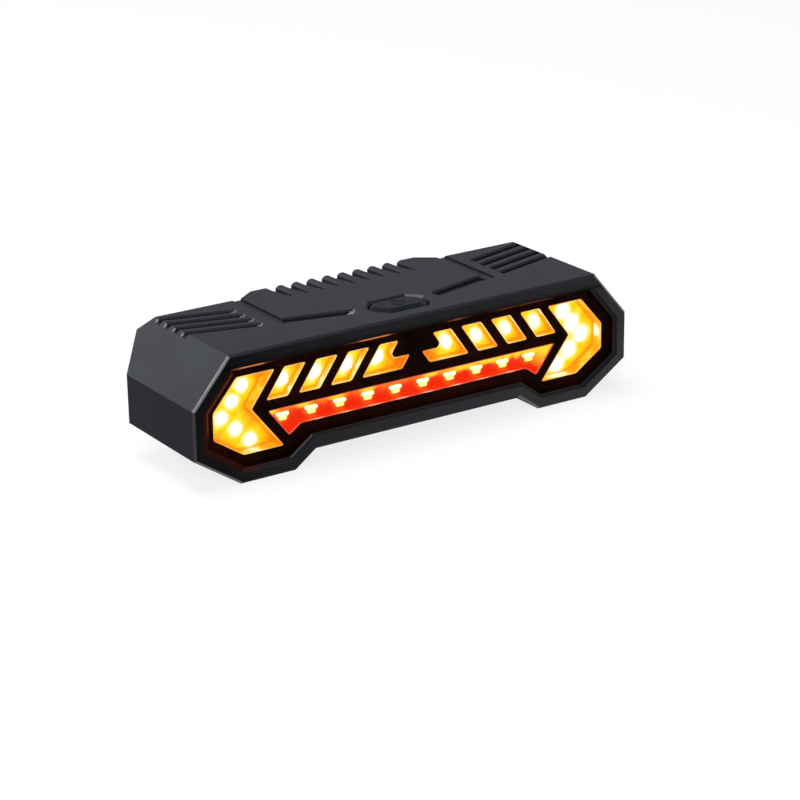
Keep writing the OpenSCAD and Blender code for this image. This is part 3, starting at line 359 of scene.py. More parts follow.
def turned_metal(name, dark, light, rough):
    """Bare metal with fine wear."""
    finish, tree, shader, place = new_finish(name)
    wear = noise(tree, place, 0.35 * MM, 4, 0.6)
    tree.links.new(ramp(tree, wear, [(0.3, dark), (0.7, light)]), shader.inputs["Base Color"])
    tree.links.new(between(tree, wear, rough - 0.08, rough + 0.12), shader.inputs["Roughness"])
    shader.inputs["Metallic"].default_value = 1.0
    bump(tree, shader, wear, 0.12, 0.02 * MM)
    return finish


housing_plastic = spark_eroded_plastic("housing_plastic", (0.024, 0.026, 0.033), (0.039, 0.040, 0.049), 0.5)
facet_plastic = spark_eroded_plastic(
    "facet_plastic", (0.008, 0.0110, 0.019), (0.044, 0.049, 0.064), 0.46, 0.36 * MM, 0.9, 0.1
)
polished_chamfer = spark_eroded_plastic(
    "polished_chamfer", (0.024, 0.026, 0.033), (0.034, 0.036, 0.045), 0.3, FINE_GRAIN, 0.1, 0.35
)
worn_edge = spark_eroded_plastic(
    "worn_edge", (0.026, 0.028, 0.035), (0.036, 0.038, 0.047), 0.36, FINE_GRAIN, 0.08, 1.0
)
button_plastic = spark_eroded_plastic(
    "button_plastic", (0.009, 0.011, 0.016), (0.014, 0.016, 0.022), 0.42, 0.2 * MM, 0.15
)
cover_plastic = spark_eroded_plastic("cover_plastic", (0.020, 0.022, 0.027), (0.032, 0.034, 0.040), 0.55)
# Painted light: the notch's wall is the housing's plastic made much lighter, for the light that falls on it.
notch_wall_painted_light = plain_plastic("notch_wall_painted_light", (0.15, 0.151, 0.165), (0.19, 0.19, 0.207), 0.5, gloss=FAINT_GLOSS)
flap_rubber = plain_plastic("flap_rubber", (0.012, 0.012, 0.013), (0.02, 0.02, 0.021), 0.7)
seal_rubber = plain_plastic("seal_rubber", (0.012, 0.012, 0.013), (0.02, 0.02, 0.021), 0.75)
pad_foam = plain_plastic("pad_foam", (0.03, 0.03, 0.032), (0.06, 0.06, 0.064), 0.9, 0.25 * MM, 0.5)
board_green = plain_plastic("board_green", (0.006, 0.05, 0.022), (0.012, 0.08, 0.036), 0.4, 1.2 * MM)
flex_copper = plain_plastic("flex_copper", (0.3, 0.13, 0.02), (0.42, 0.2, 0.04), 0.35, 0.8 * MM)
chip_black = plain_plastic("chip_black", (0.008, 0.008, 0.009), (0.016, 0.016, 0.018), 0.5, 0.3 * MM)
wire_red = plain_plastic("wire_red", (0.3, 0.012, 0.01), (0.42, 0.02, 0.016), 0.45, 0.8 * MM)
plunger_plastic = plain_plastic("plunger_plastic", (0.5, 0.5, 0.46), (0.62, 0.62, 0.58), 0.45)
battery_foil = turned_metal("battery_foil", (0.42, 0.45, 0.5), (0.6, 0.62, 0.66), 0.35)
screw_steel = turned_metal("screw_steel", (0.16, 0.16, 0.165), (0.3, 0.3, 0.31), 0.32)
shell_steel = turned_metal("shell_steel", (0.45, 0.45, 0.46), (0.6, 0.6, 0.61), 0.25)
insert_brass = turned_metal("insert_brass", (0.42, 0.27, 0.08), (0.6, 0.42, 0.15), 0.3)


# Finishes: the rim, the lens and the mask

def rim_plastic_painted_light():
    """The rim's front, with painted light growing towards the right and painted shade towards the top and just
    above the lens.
    """
    finish, tree, shader, place = new_finish("rim_plastic_painted_light")
    axes = split_place(tree, place)
    # Painted light: the rim's tone grows lighter from the left end to the right end.
    painted_light_tone = ramp(
        tree, between(tree, axes["X"], 0.0, 1.0, -50 * MM, 52 * MM),
        [
            (0.02, (0.017, 0.0165, 0.019)), (0.13, (0.043, 0.043, 0.050)), (0.35, (0.068, 0.070, 0.080)),
            (0.65, (0.088, 0.090, 0.103)), (1.0, (0.128, 0.129, 0.142)),
        ],
    )
    grain = between(tree, noise(tree, place, FINE_GRAIN, 3, 0.6), 0.85, 1.0)
    # Painted shade: darker towards the top, with a painted shadow band just above the lens.
    painted_shade_upwards = between(tree, axes["Z"], 1.0, 0.56, 8 * MM, 26 * MM)
    painted_shadow_over_lens = ramp(
        tree, between(tree, axes["Z"], 0.0, 1.0, 24 * MM, 28 * MM),
        [(0.22, WHITE), (0.3, (0.35, 0.35, 0.35)), (0.58, WHITE)],
    )
    share = product(tree, grain, painted_shade_upwards, painted_shadow_over_lens)
    tree.links.new(blended(tree, share, BLACK, painted_light_tone), shader.inputs["Base Color"])
    tree.links.new(between(tree, grain, 0.42, 0.56, 0.85, 1.0), shader.inputs["Roughness"])
    shader.inputs["Specular IOR Level"].default_value = FAINT_GLOSS
    return finish


def wall_painted_light_and_glow():
    """The rim's inner wall round the window: a painted lighter tone, darker at the left foot, where a painted glow
    stands for the left arrow's light.
    """
    finish, tree, shader, place = new_finish("wall_painted_light_and_glow")
    near_foot = left_end(tree, place, -46 * MM, -36 * MM)
    # Painted glow at the left foot, for the left arrow's light on the wall.
    painted_foot_glow = maths(tree, "MULTIPLY", near_foot, between(tree, noise(tree, place, 4 * MM, 2), 0.5, 1.0))
    glowing(shader, tree, ramp(tree, painted_foot_glow, [(0.0, BLACK), (1.0, (0.06, 0.012, 0.006))]))
    grain = noise(tree, place, FINE_GRAIN, 3)
    # Painted light: the wall is lighter than the housing's plastic, and dark at the left foot.
    wall_painted_lit_tone = ramp(tree, grain, [(0.35, (0.041, 0.041, 0.047)), (0.65, (0.058, 0.058, 0.066))])
    tree.links.new(blended(tree, near_foot, wall_painted_lit_tone, (0.004, 0.002, 0.0015)), shader.inputs["Base Color"])
    tree.links.new(between(tree, grain, 0.35, 0.5), shader.inputs["Roughness"])
    shader.inputs["Specular IOR Level"].default_value = 0.05
    return finish


def clear_lens():
    """Clear plastic; its low index keeps the white room out of the reflections."""
    finish, tree, shader, place = new_finish("clear_lens")
    haze = noise(tree, place, 6 * MM, 3)
    tree.links.new(between(tree, haze, 0.0, 0.012), shader.inputs["Roughness"])
    shader.inputs["Base Color"].default_value = (1, 1, 1, 1)
    shader.inputs["Transmission Weight"].default_value = 1.0
    shader.inputs["IOR"].default_value = 1.035
    return finish


def lens_line():
    """The thin step round the lens, which carries the lamps' light in streaks."""
    finish, tree, shader, place = new_finish("lens_line")
    axes = split_place(tree, place)
    patchy = between(tree, noise(tree, place, 9 * MM, 2), 0.05, 1.0, 0.4, 0.62)
    high = between(tree, axes["Z"], 0.0, 1.0, 12 * MM, 24 * MM)
    leftwards = between(tree, axes["X"], 1.0, 0.4, -20 * MM, 50 * MM)
    on_right = between(tree, axes["X"], 1.0, 0.0, 42 * MM, 44 * MM)
    on_top = between(tree, axes["X"], 0.45, 1.0, -46 * MM, -41 * MM)
    streak = product(tree, patchy, high, leftwards, on_right, on_top)
    at_end = maths(
        tree, "MULTIPLY", left_end(tree, place, -46 * MM, -43 * MM),
        between(tree, axes["Z"], 0.0, 0.46, 10 * MM, 13 * MM),
    )
    stops = [
        (0.03, (0.003, 0.0008, 0.0005)), (0.2, (0.028, 0.006, 0.003)), (0.5, (0.12, 0.026, 0.008)),
        (0.85, (0.62, 0.19, 0.05)),
    ]
    glowing(shader, tree, ramp(tree, maths(tree, "MAXIMUM", streak, at_end), stops))
    shader.inputs["Base Color"].default_value = (0.004, 0.0015, 0.001, 1)
    shader.inputs["Specular IOR Level"].default_value = FAINT_GLOSS
    tree.links.new(between(tree, noise(tree, place, 0.5 * MM), 0.1, 0.25), shader.inputs["Roughness"])
    return finish


def lens_border():
    """Black print round the lens, with a painted glow at the left end beside the arrow."""
    finish, tree, shader, place = new_finish("lens_border_print_and_painted_glow")
    near = left_end(tree, place, -46 * MM, -37 * MM)
    # Painted glow of the arrow's light at the left end.
    glowing(shader, tree, blended(tree, near, BLACK, (0.024, 0.0045, 0.0015)))
    speck = noise(tree, place, 0.6 * MM)
    dark, light = (0.003, 0.0012, 0.001), (0.006, 0.002, 0.0015)
    tree.links.new(ramp(tree, speck, [(0.3, dark), (0.7, light)]), shader.inputs["Base Color"])
    tree.links.new(between(tree, speck, 0.3, 0.4), shader.inputs["Roughness"])
    shader.inputs["Specular IOR Level"].default_value = FAINT_GLOSS
    return finish


def mask_print_and_painted_glow():
    """Glossy black print on the back of the lens, with a painted glow near the lamps and at the left end."""
    finish, tree, shader, place = new_finish("mask_print_and_painted_glow")
    away = nearest_lamp(tree, place, BOTH_TURN_LAMPS + BRAKE_LAMPS, merge=HARDLY_MERGED)
    uneven = between(tree, noise(tree, place, 5 * MM, 3), -1.2 * MM, 1.2 * MM)
    # Painted glow: brighter near the lamps, and even along the left end.
    painted_lamp_glow = ramp(
        tree, lamp_level(tree, away, uneven),
        [(0.3, (0.011, 0.001, 0.0003)), (0.5, (0.0045, 0.0004, 0.0001)), (0.8, (0.001, 0.0001, 0.0))],
    )
    glowing(shader, tree, blended(tree, left_end(tree, place, -47 * MM, -40 * MM), painted_lamp_glow, (0.010, 0.0011, 0.0002)))
    shader.inputs["Base Color"].default_value = (0.0014, 0.0009, 0.0008, 1)
    tree.links.new(between(tree, noise(tree, place, 0.4 * MM), 0.24, 0.34), shader.inputs["Roughness"])
    shader.inputs["Specular IOR Level"].default_value = 0.008
    return finish


def window_edge(name, lamps, unevenness, stops):
    """The cut edge of the mask round a window, with a painted glow that is bright where a lamp is close."""
    finish, tree, shader, place = new_finish(name)
    away = nearest_lamp(tree, place, lamps, merge=HARDLY_MERGED)
    uneven = between(tree, noise(tree, place, 1.2 * MM, 3), -unevenness, unevenness)
    glowing(shader, tree, ramp(tree, lamp_level(tree, away, uneven), stops))
    shader.inputs["Base Color"].default_value = (0.05, 0.01, 0.002, 1)
    tree.links.new(between(tree, noise(tree, place, 0.5 * MM), 0.35, 0.5), shader.inputs["Roughness"])
    return finish


# Finishes: the lit trays and lamps. The amber stops are shares of how far a lamp reaches.

TRAY_COLOURS = {
    "floor": [
        (0.0, WHITE), (0.125, (1.0, 1.0, 0.95)), (0.165, (1.0, 0.92, 0.32)), (0.21, (1.0, 0.76, 0.012)),
        (0.31, (1.0, 0.57, 0.003)), (0.45, (1.0, 0.31, 0.001)), (0.65, (0.93, 0.16, 0.001)),
    ],
    "border": [
        (0.0, (1.0, 1.0, 0.95)), (0.13, (1.0, 0.97, 0.6)), (0.18, (1.0, 0.72, 0.05)), (0.23, (1.0, 0.46, 0.006)),
        (0.36, (1.0, 0.31, 0.003)), (0.6, (0.97, 0.19, 0.002)),
    ],
    "wall": [
        (0.0, (1.0, 1.0, 0.85)), (0.2, (1.0, 0.94, 0.55)), (0.27, (1.0, 0.70, 0.06)), (0.36, (1.0, 0.50, 0.01)),
        (0.55, (1.0, 0.30, 0.003)), (0.8, (0.9, 0.17, 0.002)),
    ],
}
RIGHT_SPOT_MERGE, RIGHT_SPOT_GROWTH = 1.6 * MM, 0.45 * MM
GLEAM_FROM_LAMP, GLEAM_SPREAD = Vector((3.6 * MM, 0, 0.1 * MM)), (0.3, 1.0, 0.55)


def turn_tray(name, lamps, part):
    """Amber tray lit by its lamps: white beside a lamp, then yellow, amber and orange."""
    finish, tree, shader, place = new_finish(name)
    arrow = [p for p in lamps if abs(p.x) > ARROW_FROM_MIDDLE]
    bars = [p for p in lamps if abs(p.x) <= ARROW_FROM_MIDDLE]
    away = nearest_lamp(tree, place, arrow, bars)
    if lamps[0].x > 0:
        merged = nearest_lamp(tree, place, arrow, merge=RIGHT_SPOT_MERGE)
        away = maths(tree, "MINIMUM", away, maths(tree, "SUBTRACT", merged, RIGHT_SPOT_GROWTH))
        if part == "wall":
            corner = max(arrow, key=lambda p: p.x) + GLEAM_FROM_LAMP
            away = maths(tree, "MINIMUM", away, nearest_lamp(tree, place, [], [corner], GLEAM_SPREAD, 0.0))
    fine = between(tree, noise(tree, place, 1.3 * MM, 3, 0.6), -0.5 * MM, 0.5 * MM)
    broad = between(tree, noise(tree, place, 4 * MM, 2), -0.7 * MM, 0.7 * MM)
    uneven = maths(tree, "MULTIPLY", maths(tree, "ADD", fine, broad), 2.0 if part == "wall" else 1.0)
    far = between(tree, away, 0.0, 1.0, 1.2 * MM, 3 * MM)
    level = lamp_level(tree, away, maths(tree, "MULTIPLY", uneven, far))
    glowing(shader, tree, ramp(tree, level, TRAY_COLOURS[part]))
    shader.inputs["Base Color"].default_value = (0.05, 0.015, 0.001, 1)
    shader.inputs["Specular IOR Level"].default_value = 0.1
    tree.links.new(between(tree, fine, 0.3, 0.42, -0.5 * MM, 0.5 * MM), shader.inputs["Roughness"])
    return finish


PATCHES, PATCH_PITCH, PATCH_SHIFT, PATCH_RISE = (-4, -3, -2, -1, 1, 2, 3), 1.14, -0.32, 1.25 * MM
BRAKE_TIP_X, BRAKE_TIP_Z = 36.5 * MM, 12.4 * MM


def brake_tray(name):
    """Red tray of the brake bar with a painted glow, orange towards its upper edge and yellow above each lamp."""
    finish, tree, shader, place = new_finish(name)
    lamp, pitch = BRAKE_LAMPS[0], BRAKE_LAMPS[1].x - BRAKE_LAMPS[0].x
    patches = [Vector(((PATCH_PITCH * k + PATCH_SHIFT) * pitch, lamp.y, lamp.z + PATCH_RISE)) for k in PATCHES]
    away = nearest_lamp(tree, place, BRAKE_LAMPS, merge=0.3 * MM)
    above = nearest_lamp(tree, place, [], patches, (2.0, 2.0, 0.75), 0.0, 0.1 * MM)
    tip = nearest_lamp(tree, place, [Vector((BRAKE_TIP_X, lamp.y, BRAKE_TIP_Z))])
    axes = split_place(tree, place)
    uneven = between(tree, noise(tree, place, 2.6 * MM, 3, 0.6), -0.14, 0.14)
    height = between(tree, axes["Z"], 0.0, 1.0, lamp.z - 1.6 * MM, lamp.z + 2.4 * MM)
    uneven_height = maths(tree, "ADD", height, uneven)
    lit = ramp(
        tree, uneven_height,
        [(0.2, (0.84, 0.022, 0.0025)), (0.5, (0.94, 0.040, 0.004)), (0.8, (0.97, 0.21, 0.006))],
    )
    band = maths(
        tree, "MULTIPLY", between(tree, uneven_height, 0.0, 0.95, 0.4, 0.62),
        between(tree, axes["X"], 0.0, 1.0, 4 * MM, 18 * MM),
    )
    lit = blended(tree, between(tree, away, 0.5, 0.0, 1.1 * MM, 2.3 * MM), lit, (1.0, 0.26, 0.012))
    lit = blended(tree, between(tree, above, 1.0, 0.0, 0.5 * MM, 1.3 * MM), lit, (1.0, 0.68, 0.025))
    lit = blended(tree, band, lit, (1.0, 0.72, 0.03))
    lit = blended(tree, between(tree, tip, 0.92, 0.0, 1.8 * MM, 5.6 * MM), lit, (1.0, 0.69, 0.04))
    glowing(shader, tree, lit)
    shader.inputs["Base Color"].default_value = (0.05, 0.003, 0.001, 1)
    shader.inputs["Specular IOR Level"].default_value = 0.1
    tree.links.new(between(tree, uneven, 0.3, 0.4, -0.14, 0.14), shader.inputs["Roughness"])
    return finish


def cell_line(name, dark, light):
    """The thin shaded line where a cell's floor meets its walls."""
    finish, tree, shader, place = new_finish(name)
    glowing(shader, tree, ramp(tree, noise(tree, place, 1.5 * MM), [(0.35, dark), (0.65, light)]))
    shader.inputs["Base Color"].default_value = (0.3, 0.1, 0.01, 1)
    tree.links.new(between(tree, noise(tree, place, 0.5 * MM), 0.35, 0.5), shader.inputs["Roughness"])
    return finish


def lit_lamp(name, pale, white):
    """A lamp that shines nearly white."""
    finish, tree, shader, place = new_finish(name)
    glowing(shader, tree, ramp(tree, noise(tree, place, 0.9 * MM, 1), [(0.3, pale), (0.6, white)]))
    shader.inputs["Base Color"].default_value = (0.8, 0.7, 0.4, 1)
    tree.links.new(between(tree, noise(tree, place, 0.3 * MM), 0.15, 0.3), shader.inputs["Roughness"])
    return finish


rim_wall_painted_light = wall_painted_light_and_glow()


# The housing, with its edges rounded as a mould leaves them

PLAIN, CHAMFER, FACET, WALL, WORN, RIM, NOTCH = range(7)
GLINT = Vector((-0.54, -0.71, 0.46)).normalized()
FRONT_DEPTH, WALL_DEPTH, TOP_DEPTH, WORN_FROM = 1 * MM, 1.6 * MM, 2.5 * MM, 0.26 * MM
LEAST_FOLD, SHORT_EDGE, FACET_AREA = 18, 6 * MM, 60 * MM * MM


def housing_finish(face, low, high):
    """Which finish a face of the housing has, by where it lies and where it faces."""
    at, facing = middle(face), face.normal
    if at.y < low.y + FRONT_DEPTH:
        slanted = -0.93 < facing.y < -0.3
        if facing.dot(GLINT) > 0.99 and at.y > low.y + WORN_FROM:
            return WORN
        if slanted and facing.x > 0.25 and facing.z > 0.2:
            return WORN
        if slanted and facing.x < -0.25 and facing.z < -0.25:
            return WORN
        if facing.y < -0.3 and (not slanted or facing.z < -0.3 or facing.x > 0.25):
            return RIM
        if slanted:
            return PLAIN if facing.z > 0.5 and abs(facing.x) < 0.3 else CHAMFER
    elif facing.dot(GLINT) > 0.93 and at.z > high.z - TOP_DEPTH:
        return WORN
    if abs(facing.x) > 0.5 and facing.z > 0.4:
        return FACET
    if abs(facing.y) < 0.02 and low.y + 0.02 * MM < at.y < low.y + WALL_DEPTH:
        return NOTCH if facing.x < -0.3 and facing.z > 0.3 and at.x < 0 else WALL
    return PLAIN


def housing_shell():
    """The shell with rounded edges, bright where an edge is worn or polished."""
    shape = merged_copy("main_housing")
    low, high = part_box("main_housing")
    facets = [f for f in shape.faces if abs(f.normal.x) > 0.5 and f.normal.z > 0.4 and f.calc_area() > FACET_AREA]
    ends = [
        e for e in shape.edges
        if fold(e) > LEAST_FOLD and e.calc_length() < SHORT_EDGE and any(f in facets for f in e.link_faces)
        and any(f.normal.y < -0.7 for f in e.link_faces) and middle(e).y > low.y + 2 * MM
    ]
    round_edges(shape, ends, 0.3 * MM, 1)
    rounded = [e for e in shape.edges if fold(e) > LEAST_FOLD and e.calc_length() > SHORT_EDGE]
    round_edges(shape, rounded, 0.15 * MM, 2)
    shape.normal_update()
    strip = [f for f in shape.faces if f.normal.dot(GLINT) > 0.99 and middle(f).y < low.y + FRONT_DEPTH]
    bmesh.ops.bisect_plane(
        shape, geom=strip + list({e for f in strip for e in f.edges}) + list({v for f in strip for v in f.verts}),
        plane_co=(0, low.y + WORN_FROM, 0), plane_no=(0, 1, 0),
    )
    shape.normal_update()
    soften_rounded_edges(shape)
    # The rim, wall and notch finishes carry painted light, shade and glow.
    for face in shape.faces:
        face.material_index = housing_finish(face, low, high)
    finished_piece(
        shape, "housing_shell", "light",
        [housing_plastic, polished_chamfer, facet_plastic, rim_wall_painted_light, worn_edge, rim_plastic_painted_light(), notch_wall_painted_light],
        ["main_housing"], soft=False,
    )


# The lens and the mask behind it

LENS_RINGS = (0.32 * MM, 0.3 * MM, 0.5 * MM, 0.35 * MM)
LENS_OFF_MASK = 0.04 * MM


def nearest_wall(walls, point):
    """The wall of a flat plate whose foot runs closest to a point of the plate."""
    def distance(wall):
        start, end = sorted(wall.verts, key=lambda v: v.co.y)[:2]
        along = end.co - start.co
        share = (point - start.co).dot(along) / along.length_squared
        return (start.co + along * min(1, max(0, share)) - point).length
    return min(walls, key=distance)


def lens_window():
    """The lens, with rings round its front for the border, the lit line and the rim's shade."""
    shape = merged_copy("front_lens")
    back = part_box("front_lens")[1].y
    for vert in shape.verts:
        if vert.co.y > back - 0.1 * MM:
            vert.co.y -= LENS_OFF_MASK
    shape.normal_update()
    front = [f for f in shape.faces if f.normal.y < -0.95]
    rings = [inset_ring(shape, front, width) for width in LENS_RINGS]
    clear, line, border, wall, notch = range(5)
    walls = [f for f in shape.faces if is_upright(f)]
    for face in shape.faces:
        face.material_index = clear if abs(face.normal.y) > 0.95 else border
    for place, ring in enumerate(rings):
        for face in ring:
            outward, x = nearest_wall(walls, middle(face)).normal, middle(face).x
            if outward.x < -0.5 and x < -ARROW_FROM_MIDDLE:
                face.material_index = (border, border, border, line)[place]
            elif outward.x > 0.3 and outward.z < -0.3 and x < 0:
                face.material_index = (notch, notch, clear, clear)[place]
            elif outward.z < -0.2 or outward.x > 0.5:
                face.material_index = (wall, wall, clear, clear)[place]
            else:
                face.material_index = (border, line, clear, clear)[place]
    finished_piece(
        shape, "lens_window", "light",
        [clear_lens(), lens_line(), lens_border(), rim_wall_painted_light, notch_wall_painted_light], ["front_lens"], soft=False,
    )


BRAKE_TOP, BRAKE_REACH, BRAKE_SLANT = 14.5 * MM, 38.8 * MM, 0.8
LEAST_CORNER, POINTED_CORNER = 8, 95
LIP_WIDTH, LIP_THICKNESS, LIP_OFF_MASK = 0.15 * MM, 0.008 * MM, 0.015 * MM


def outline_windows(shape, walls):
    """Thin lips in front of the mask, along the inside of the windows' cut edges, which carry the edges' painted
    glow.
    """
    front = min(v.co.y for f in walls for v in f.verts)
    facing, strips = {}, set()
    for wall in walls:
        for vert in wall.verts:
            facing[vert] = facing.get(vert, Vector()) + wall.normal
    made = {}
    for vert, away in facing.items():
        if vert.co.y < front + 0.01 * MM:
            lifted = vert.co - Vector((0, LIP_OFF_MASK, 0))
            made[vert] = shape.verts.new(lifted), shape.verts.new(lifted + away.normalized() * LIP_WIDTH)
    for wall in walls:
        for edge in list(wall.edges):
            if all(v in made for v in edge.verts):
                (near_a, far_a), (near_b, far_b) = (made[v] for v in edge.verts)
                strip = shape.faces.new((near_a, near_b, far_b, far_a))
                strip.normal_update()
                if strip.normal.y > 0:
                    strip.normal_flip()
                strips.add(strip)
    shell = bmesh.ops.solidify(shape, geom=list(strips), thickness=LIP_THICKNESS)["geom"]
    shape.normal_update()
    return strips | {part for part in shell if isinstance(part, bmesh.types.BMFace)}


def linked_walls(start):
    """The upright faces that are reached from one of them over shared edges."""
    linked, reached = {start}, [start]
    while reached:
        for edge in reached.pop().edges:
            for face in edge.link_faces:
                if is_upright(face) and face not in linked:
                    linked.add(face)
                    reached.append(face)
    return linked


def printed_mask():
    """The black sheet, with the corners of its windows rounded and their cut edges lit."""
    shape = merged_copy("window_mask")
    round_edges(shape, edges_along_depth(shape, LEAST_CORNER, POINTED_CORNER), 0.4 * MM, 4)
    shape.normal_update()
    round_edges(shape, edges_along_depth(shape, POINTED_CORNER), 0.6 * MM, 5)
    shape.normal_update()
    outer = linked_walls(max((f for f in shape.faces if is_upright(f)), key=lambda f: middle(f).x))
    lips = outline_windows(shape, [f for f in shape.faces if is_upright(f) and f not in outer])
    amber_edge = window_edge(
        "amber_window_edge", BOTH_TURN_LAMPS, 0.9 * MM,
        [(0.3, (1.0, 0.80, 0.38)), (0.42, (1.0, 0.56, 0.13)), (0.6, (0.9, 0.30, 0.03))],
    )
    red_edge = window_edge(
        "brake_window_edge", BRAKE_LAMPS, 0.2 * MM,
        [(0.28, (1.0, 0.66, 0.50)), (0.33, (0.8, 0.10, 0.04)), (0.5, (0.62, 0.04, 0.012))],
    )
    printed, amber, red = range(3)
    for face in shape.faces:
        at = middle(face)
        on_brake = at.z < BRAKE_TOP and abs(at.x) < BRAKE_REACH + (at.z - BRAKE_TOP) * BRAKE_SLANT
        is_edge = face in lips or (abs(face.normal.y) < 0.9 and face not in outer)
        face.material_index = printed if not is_edge else red if on_brake else amber
    finished_piece(
        shape, "printed_mask", "light", [mask_print_and_painted_glow(), amber_edge, red_edge], ["window_mask"]
    )


# The trays, the lamps and the other pieces

LAMP_HOLE, BRAKE_LAMP_HOLE = 1.85 * MM, 1.67 * MM
CELL_LINE, CELL_BORDER = 0.18 * MM, 0.5 * MM
LIP_CUTS, BODY_BELOW = (-0.25 * MM, 0.05 * MM), 0.1 * MM
LIP_STRETCH, BODY_STRETCH = (1.06, 0.8), (0.66, 1.3)


def close_lamp_holes(shape, lamps, radius):
    """Fills the lamp holes in a tray's floor, as the clear potting round a lamp does."""
    def on_hole(face):
        return abs(face.normal.y) < 0.1 and any(
            all(abs(math.hypot(v.co.x - p.x, v.co.z - p.z) - radius) < 0.03 * MM for v in face.verts) for p in lamps
        )
    bmesh.ops.delete(shape, geom=[f for f in shape.faces if on_hole(f)], context="FACES")
    bmesh.ops.holes_fill(shape, edges=[e for e in shape.edges if e.is_boundary], sides=0)
    join_flat_faces(shape)


def cell_tray(node, name, lamps, hole, finishes):
    """A tray of cells; the finishes are for floors, walls, the line round a floor and its border."""
    shape = merged_copy(node)
    shape.normal_update()
    low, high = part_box(node)
    close_lamp_holes(shape, lamps, hole)
    shape.normal_update()
    floors = [
        f for f in shape.faces
        if f.normal.y < -0.95 and low.y + 0.5 * MM < middle(f).y < high.y - 0.1 * MM
    ]
    floor, wall, line, border = range(4)
    for face in shape.faces:
        face.material_index = wall
    lines = inset_ring(shape, floors, CELL_LINE)
    borders = inset_ring(shape, floors, CELL_BORDER)
    for group, finish in ((floors, floor), (lines, line), (borders, border)):
        for face in group:
            face.material_index = finish
    finished_piece(shape, name, "light", finishes, [node], soft=False)


def lamp_row(node, name, finish):
    """Lamps with rounded corners."""
    shape = merged_copy(node)
    round_edges(shape, edges_along_depth(shape), 0.8 * MM, 4)
    finished_piece(shape, name, "light", [finish], [node])


def brake_lamp_row():
    """Brake lamps with a wide lip above a narrower body."""
    shape = merged_copy("brake_lamps_red")
    for height in LIP_CUTS:
        bmesh.ops.bisect_plane(
            shape, geom=shape.verts[:] + shape.edges[:] + shape.faces[:],
            plane_co=(0, 0, BRAKE_LAMPS[0].z + height), plane_no=(0, 0, 1),
        )
    for vert in shape.verts:
        lamp = min(BRAKE_LAMPS, key=lambda p: abs(p.x - vert.co.x))
        wide, tall = BODY_STRETCH if vert.co.z < lamp.z - BODY_BELOW else LIP_STRETCH
        vert.co.x = lamp.x + (vert.co.x - lamp.x) * wide
        vert.co.z = lamp.z + (vert.co.z - lamp.z) * tall
    round_edges(shape, edges_along_depth(shape, 20), 0.3 * MM, 3)
    for face in shape.faces:
        face.material_index = 1 if middle(face).z < BRAKE_LAMPS[0].z - BODY_BELOW else 0
    lip = lit_lamp("brake_lamp_lip", (1.0, 0.90, 0.42), (1.0, 0.99, 0.75))
    body = lit_lamp("brake_lamp_body", (1.0, 0.55, 0.04), (1.0, 0.80, 0.16))
    finished_piece(shape, "brake_lamp_row", "light", [lip, body], ["brake_lamps_red"])


def dressed(node, name, body, finish, radius, segments=2, least=LEAST_FOLD):
    """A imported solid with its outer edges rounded, in one finish."""
    shape = merged_copy(node)
    round_edges(shape, [e for e in shape.edges if fold(e) > least], radius, segments)
    finished_piece(shape, name, body, [finish], [node])


housing_shell()
lens_window()
printed_mask()
amber_line = cell_line("amber_cell_line", (0.55, 0.12, 0.002), (0.9, 0.3, 0.01))
for side, lamps in TURN_LAMPS.items():
    floor, wall, border = (turn_tray(f"{side}_tray_{part}", lamps, part) for part in ("floor", "wall", "border"))
    cell_tray(
        side + "_turn_reflector", side + "_turn_tray", lamps, LAMP_HOLE,
        [floor, wall, amber_line, border],
    )
    lamp_row(side + "_turn_lamps", side + "_turn_lamp_row", turn_tray(side + "_lamp_lit", lamps, "floor"))
brake_floor, brake_wall = brake_tray("brake_tray_floor"), brake_tray("brake_tray_wall")
cell_tray(
    "brake_reflector", "brake_tray", BRAKE_LAMPS, BRAKE_LAMP_HOLE,
    [brake_floor, brake_wall, brake_floor, brake_floor],
)
brake_lamp_row()
dressed("button_cap", "power_button", "button", button_plastic, 0.12 * MM)
dressed("rear_cover", "rear_cover_plate", "light", cover_plastic, 0.15 * MM)
dressed("rear_cover_screws", "cover_screws", "light", screw_steel, 0.08 * MM, 2, 30)
dressed("bracket_inserts", "bracket_bushes", "light", insert_brass, 0.1 * MM, 2, 30)
dressed("port_flap", "charging_flap", "flap", flap_rubber, 0.15 * MM, 3, 30)

FINISH_OF_NODE = {
    "lens_seal": seal_rubber, "lamp_board": board_green, "lamp_flex_cable": flex_copper,
    "control_board": board_green, "control_board_parts": chip_black, "control_board_screws": screw_steel,
    "switch_body": chip_black, "switch_plunger": plunger_plastic, "button_clip": shell_steel,
    "button_seal": seal_rubber, "battery": battery_foil, "battery_pad": pad_foam, "battery_wires": wire_red,
    "charge_board": board_green, "charge_board_screws": screw_steel, "charge_wires": wire_red,
    "usb_shell": shell_steel, "usb_tongue": chip_black, "rear_cover_seal": seal_rubber,
}
for node, finish in FINISH_OF_NODE.items():
    nodes[node].data.materials.clear()
    nodes[node].data.materials.append(finish)


# Floor, world and studio lights

FLOOR_SIZE, FLOOR_GLOW, WORLD_LIGHT = 4.0, 0.82, 0.12
LIGHTS_AIM = Vector((0, 0, 0.015))


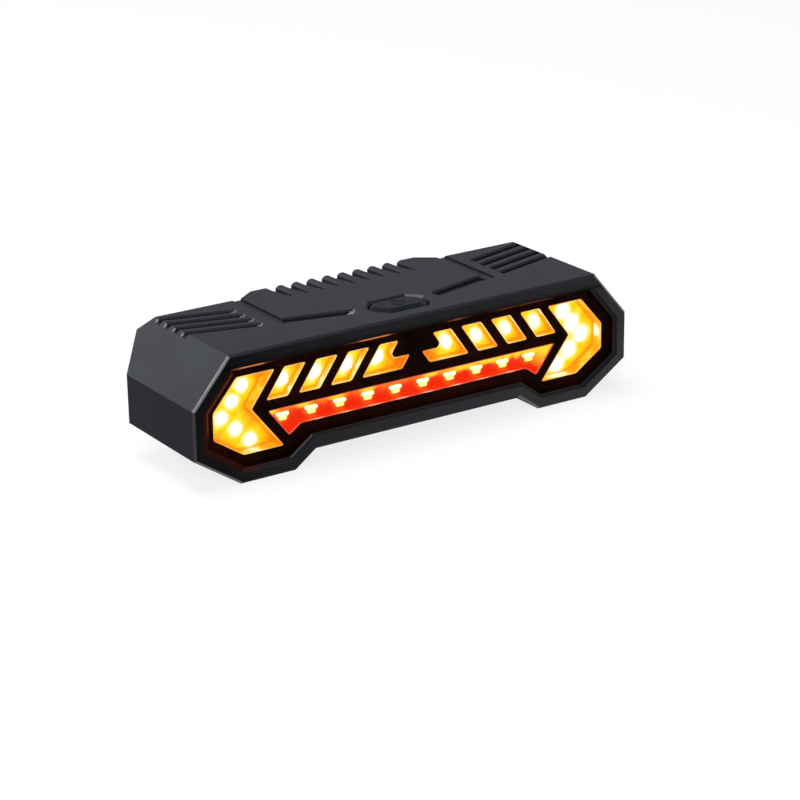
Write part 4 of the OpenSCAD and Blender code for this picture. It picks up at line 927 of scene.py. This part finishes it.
def pale_for_the_eye(tree):
    """1 for rays that show the background: straight, in gloss or through glass."""
    path = tree.nodes.new("ShaderNodeLightPath")
    shown = maths(tree, "MAXIMUM", path.outputs["Is Camera Ray"], path.outputs["Is Glossy Ray"])
    return maths(tree, "MAXIMUM", shown, path.outputs["Is Transmission Ray"])


def pale_floor():
    shape = bmesh.new()
    bmesh.ops.create_grid(shape, x_segments=1, y_segments=1, size=FLOOR_SIZE)
    mesh = bpy.data.meshes.new("pale_floor")
    shape.to_mesh(mesh)
    shape.free()
    finish = bpy.data.materials.new("pale_floor")
    finish.use_nodes = True
    tree = finish.node_tree
    shader = tree.nodes["Principled BSDF"]
    shader.inputs["Base Color"].default_value = (0.22, 0.22, 0.22, 1)
    shader.inputs["Roughness"].default_value = 0.9
    shader.inputs["Specular IOR Level"].default_value = 0.0
    shader.inputs["Emission Color"].default_value = (1, 1, 1, 1)
    tree.links.new(maths(tree, "MULTIPLY", pale_for_the_eye(tree), FLOOR_GLOW), shader.inputs["Emission Strength"])
    mesh.materials.append(finish)
    floor = bpy.data.objects.new("pale_floor", mesh)
    scene.collection.objects.link(floor)


def pale_world():
    """White where it is seen, dimmer as a light."""
    world = bpy.data.worlds.new("pale_studio")
    world.use_nodes = True
    tree = world.node_tree
    background = tree.nodes["Background"]
    background.inputs["Color"].default_value = (1, 1, 1, 1)
    strength = between(tree, pale_for_the_eye(tree), WORLD_LIGHT, 1.0, 0.0, 1.0)
    tree.links.new(strength, background.inputs["Strength"])
    scene.world = world


def softbox(name, at, width, height, watts):
    data = bpy.data.lights.new(name, "AREA")
    data.shape = "RECTANGLE"
    data.size, data.size_y = width, height
    data.energy = watts
    lamp = bpy.data.objects.new(name, data)
    scene.collection.objects.link(lamp)
    lamp.location = at
    lamp.rotation_euler = (LIGHTS_AIM - Vector(at)).to_track_quat("-Z", "Y").to_euler()


pale_floor()
pale_world()
softbox("front_left_softbox", (-0.50, -0.57, 0.51), 0.25, 0.25, 2.1)
softbox("back_left_softbox", (-0.40, 0.72, 0.42), 0.5, 0.5, 2.2)
softbox("top_softbox", (-0.1, 0.1, 0.95), 0.6, 0.5, 6)
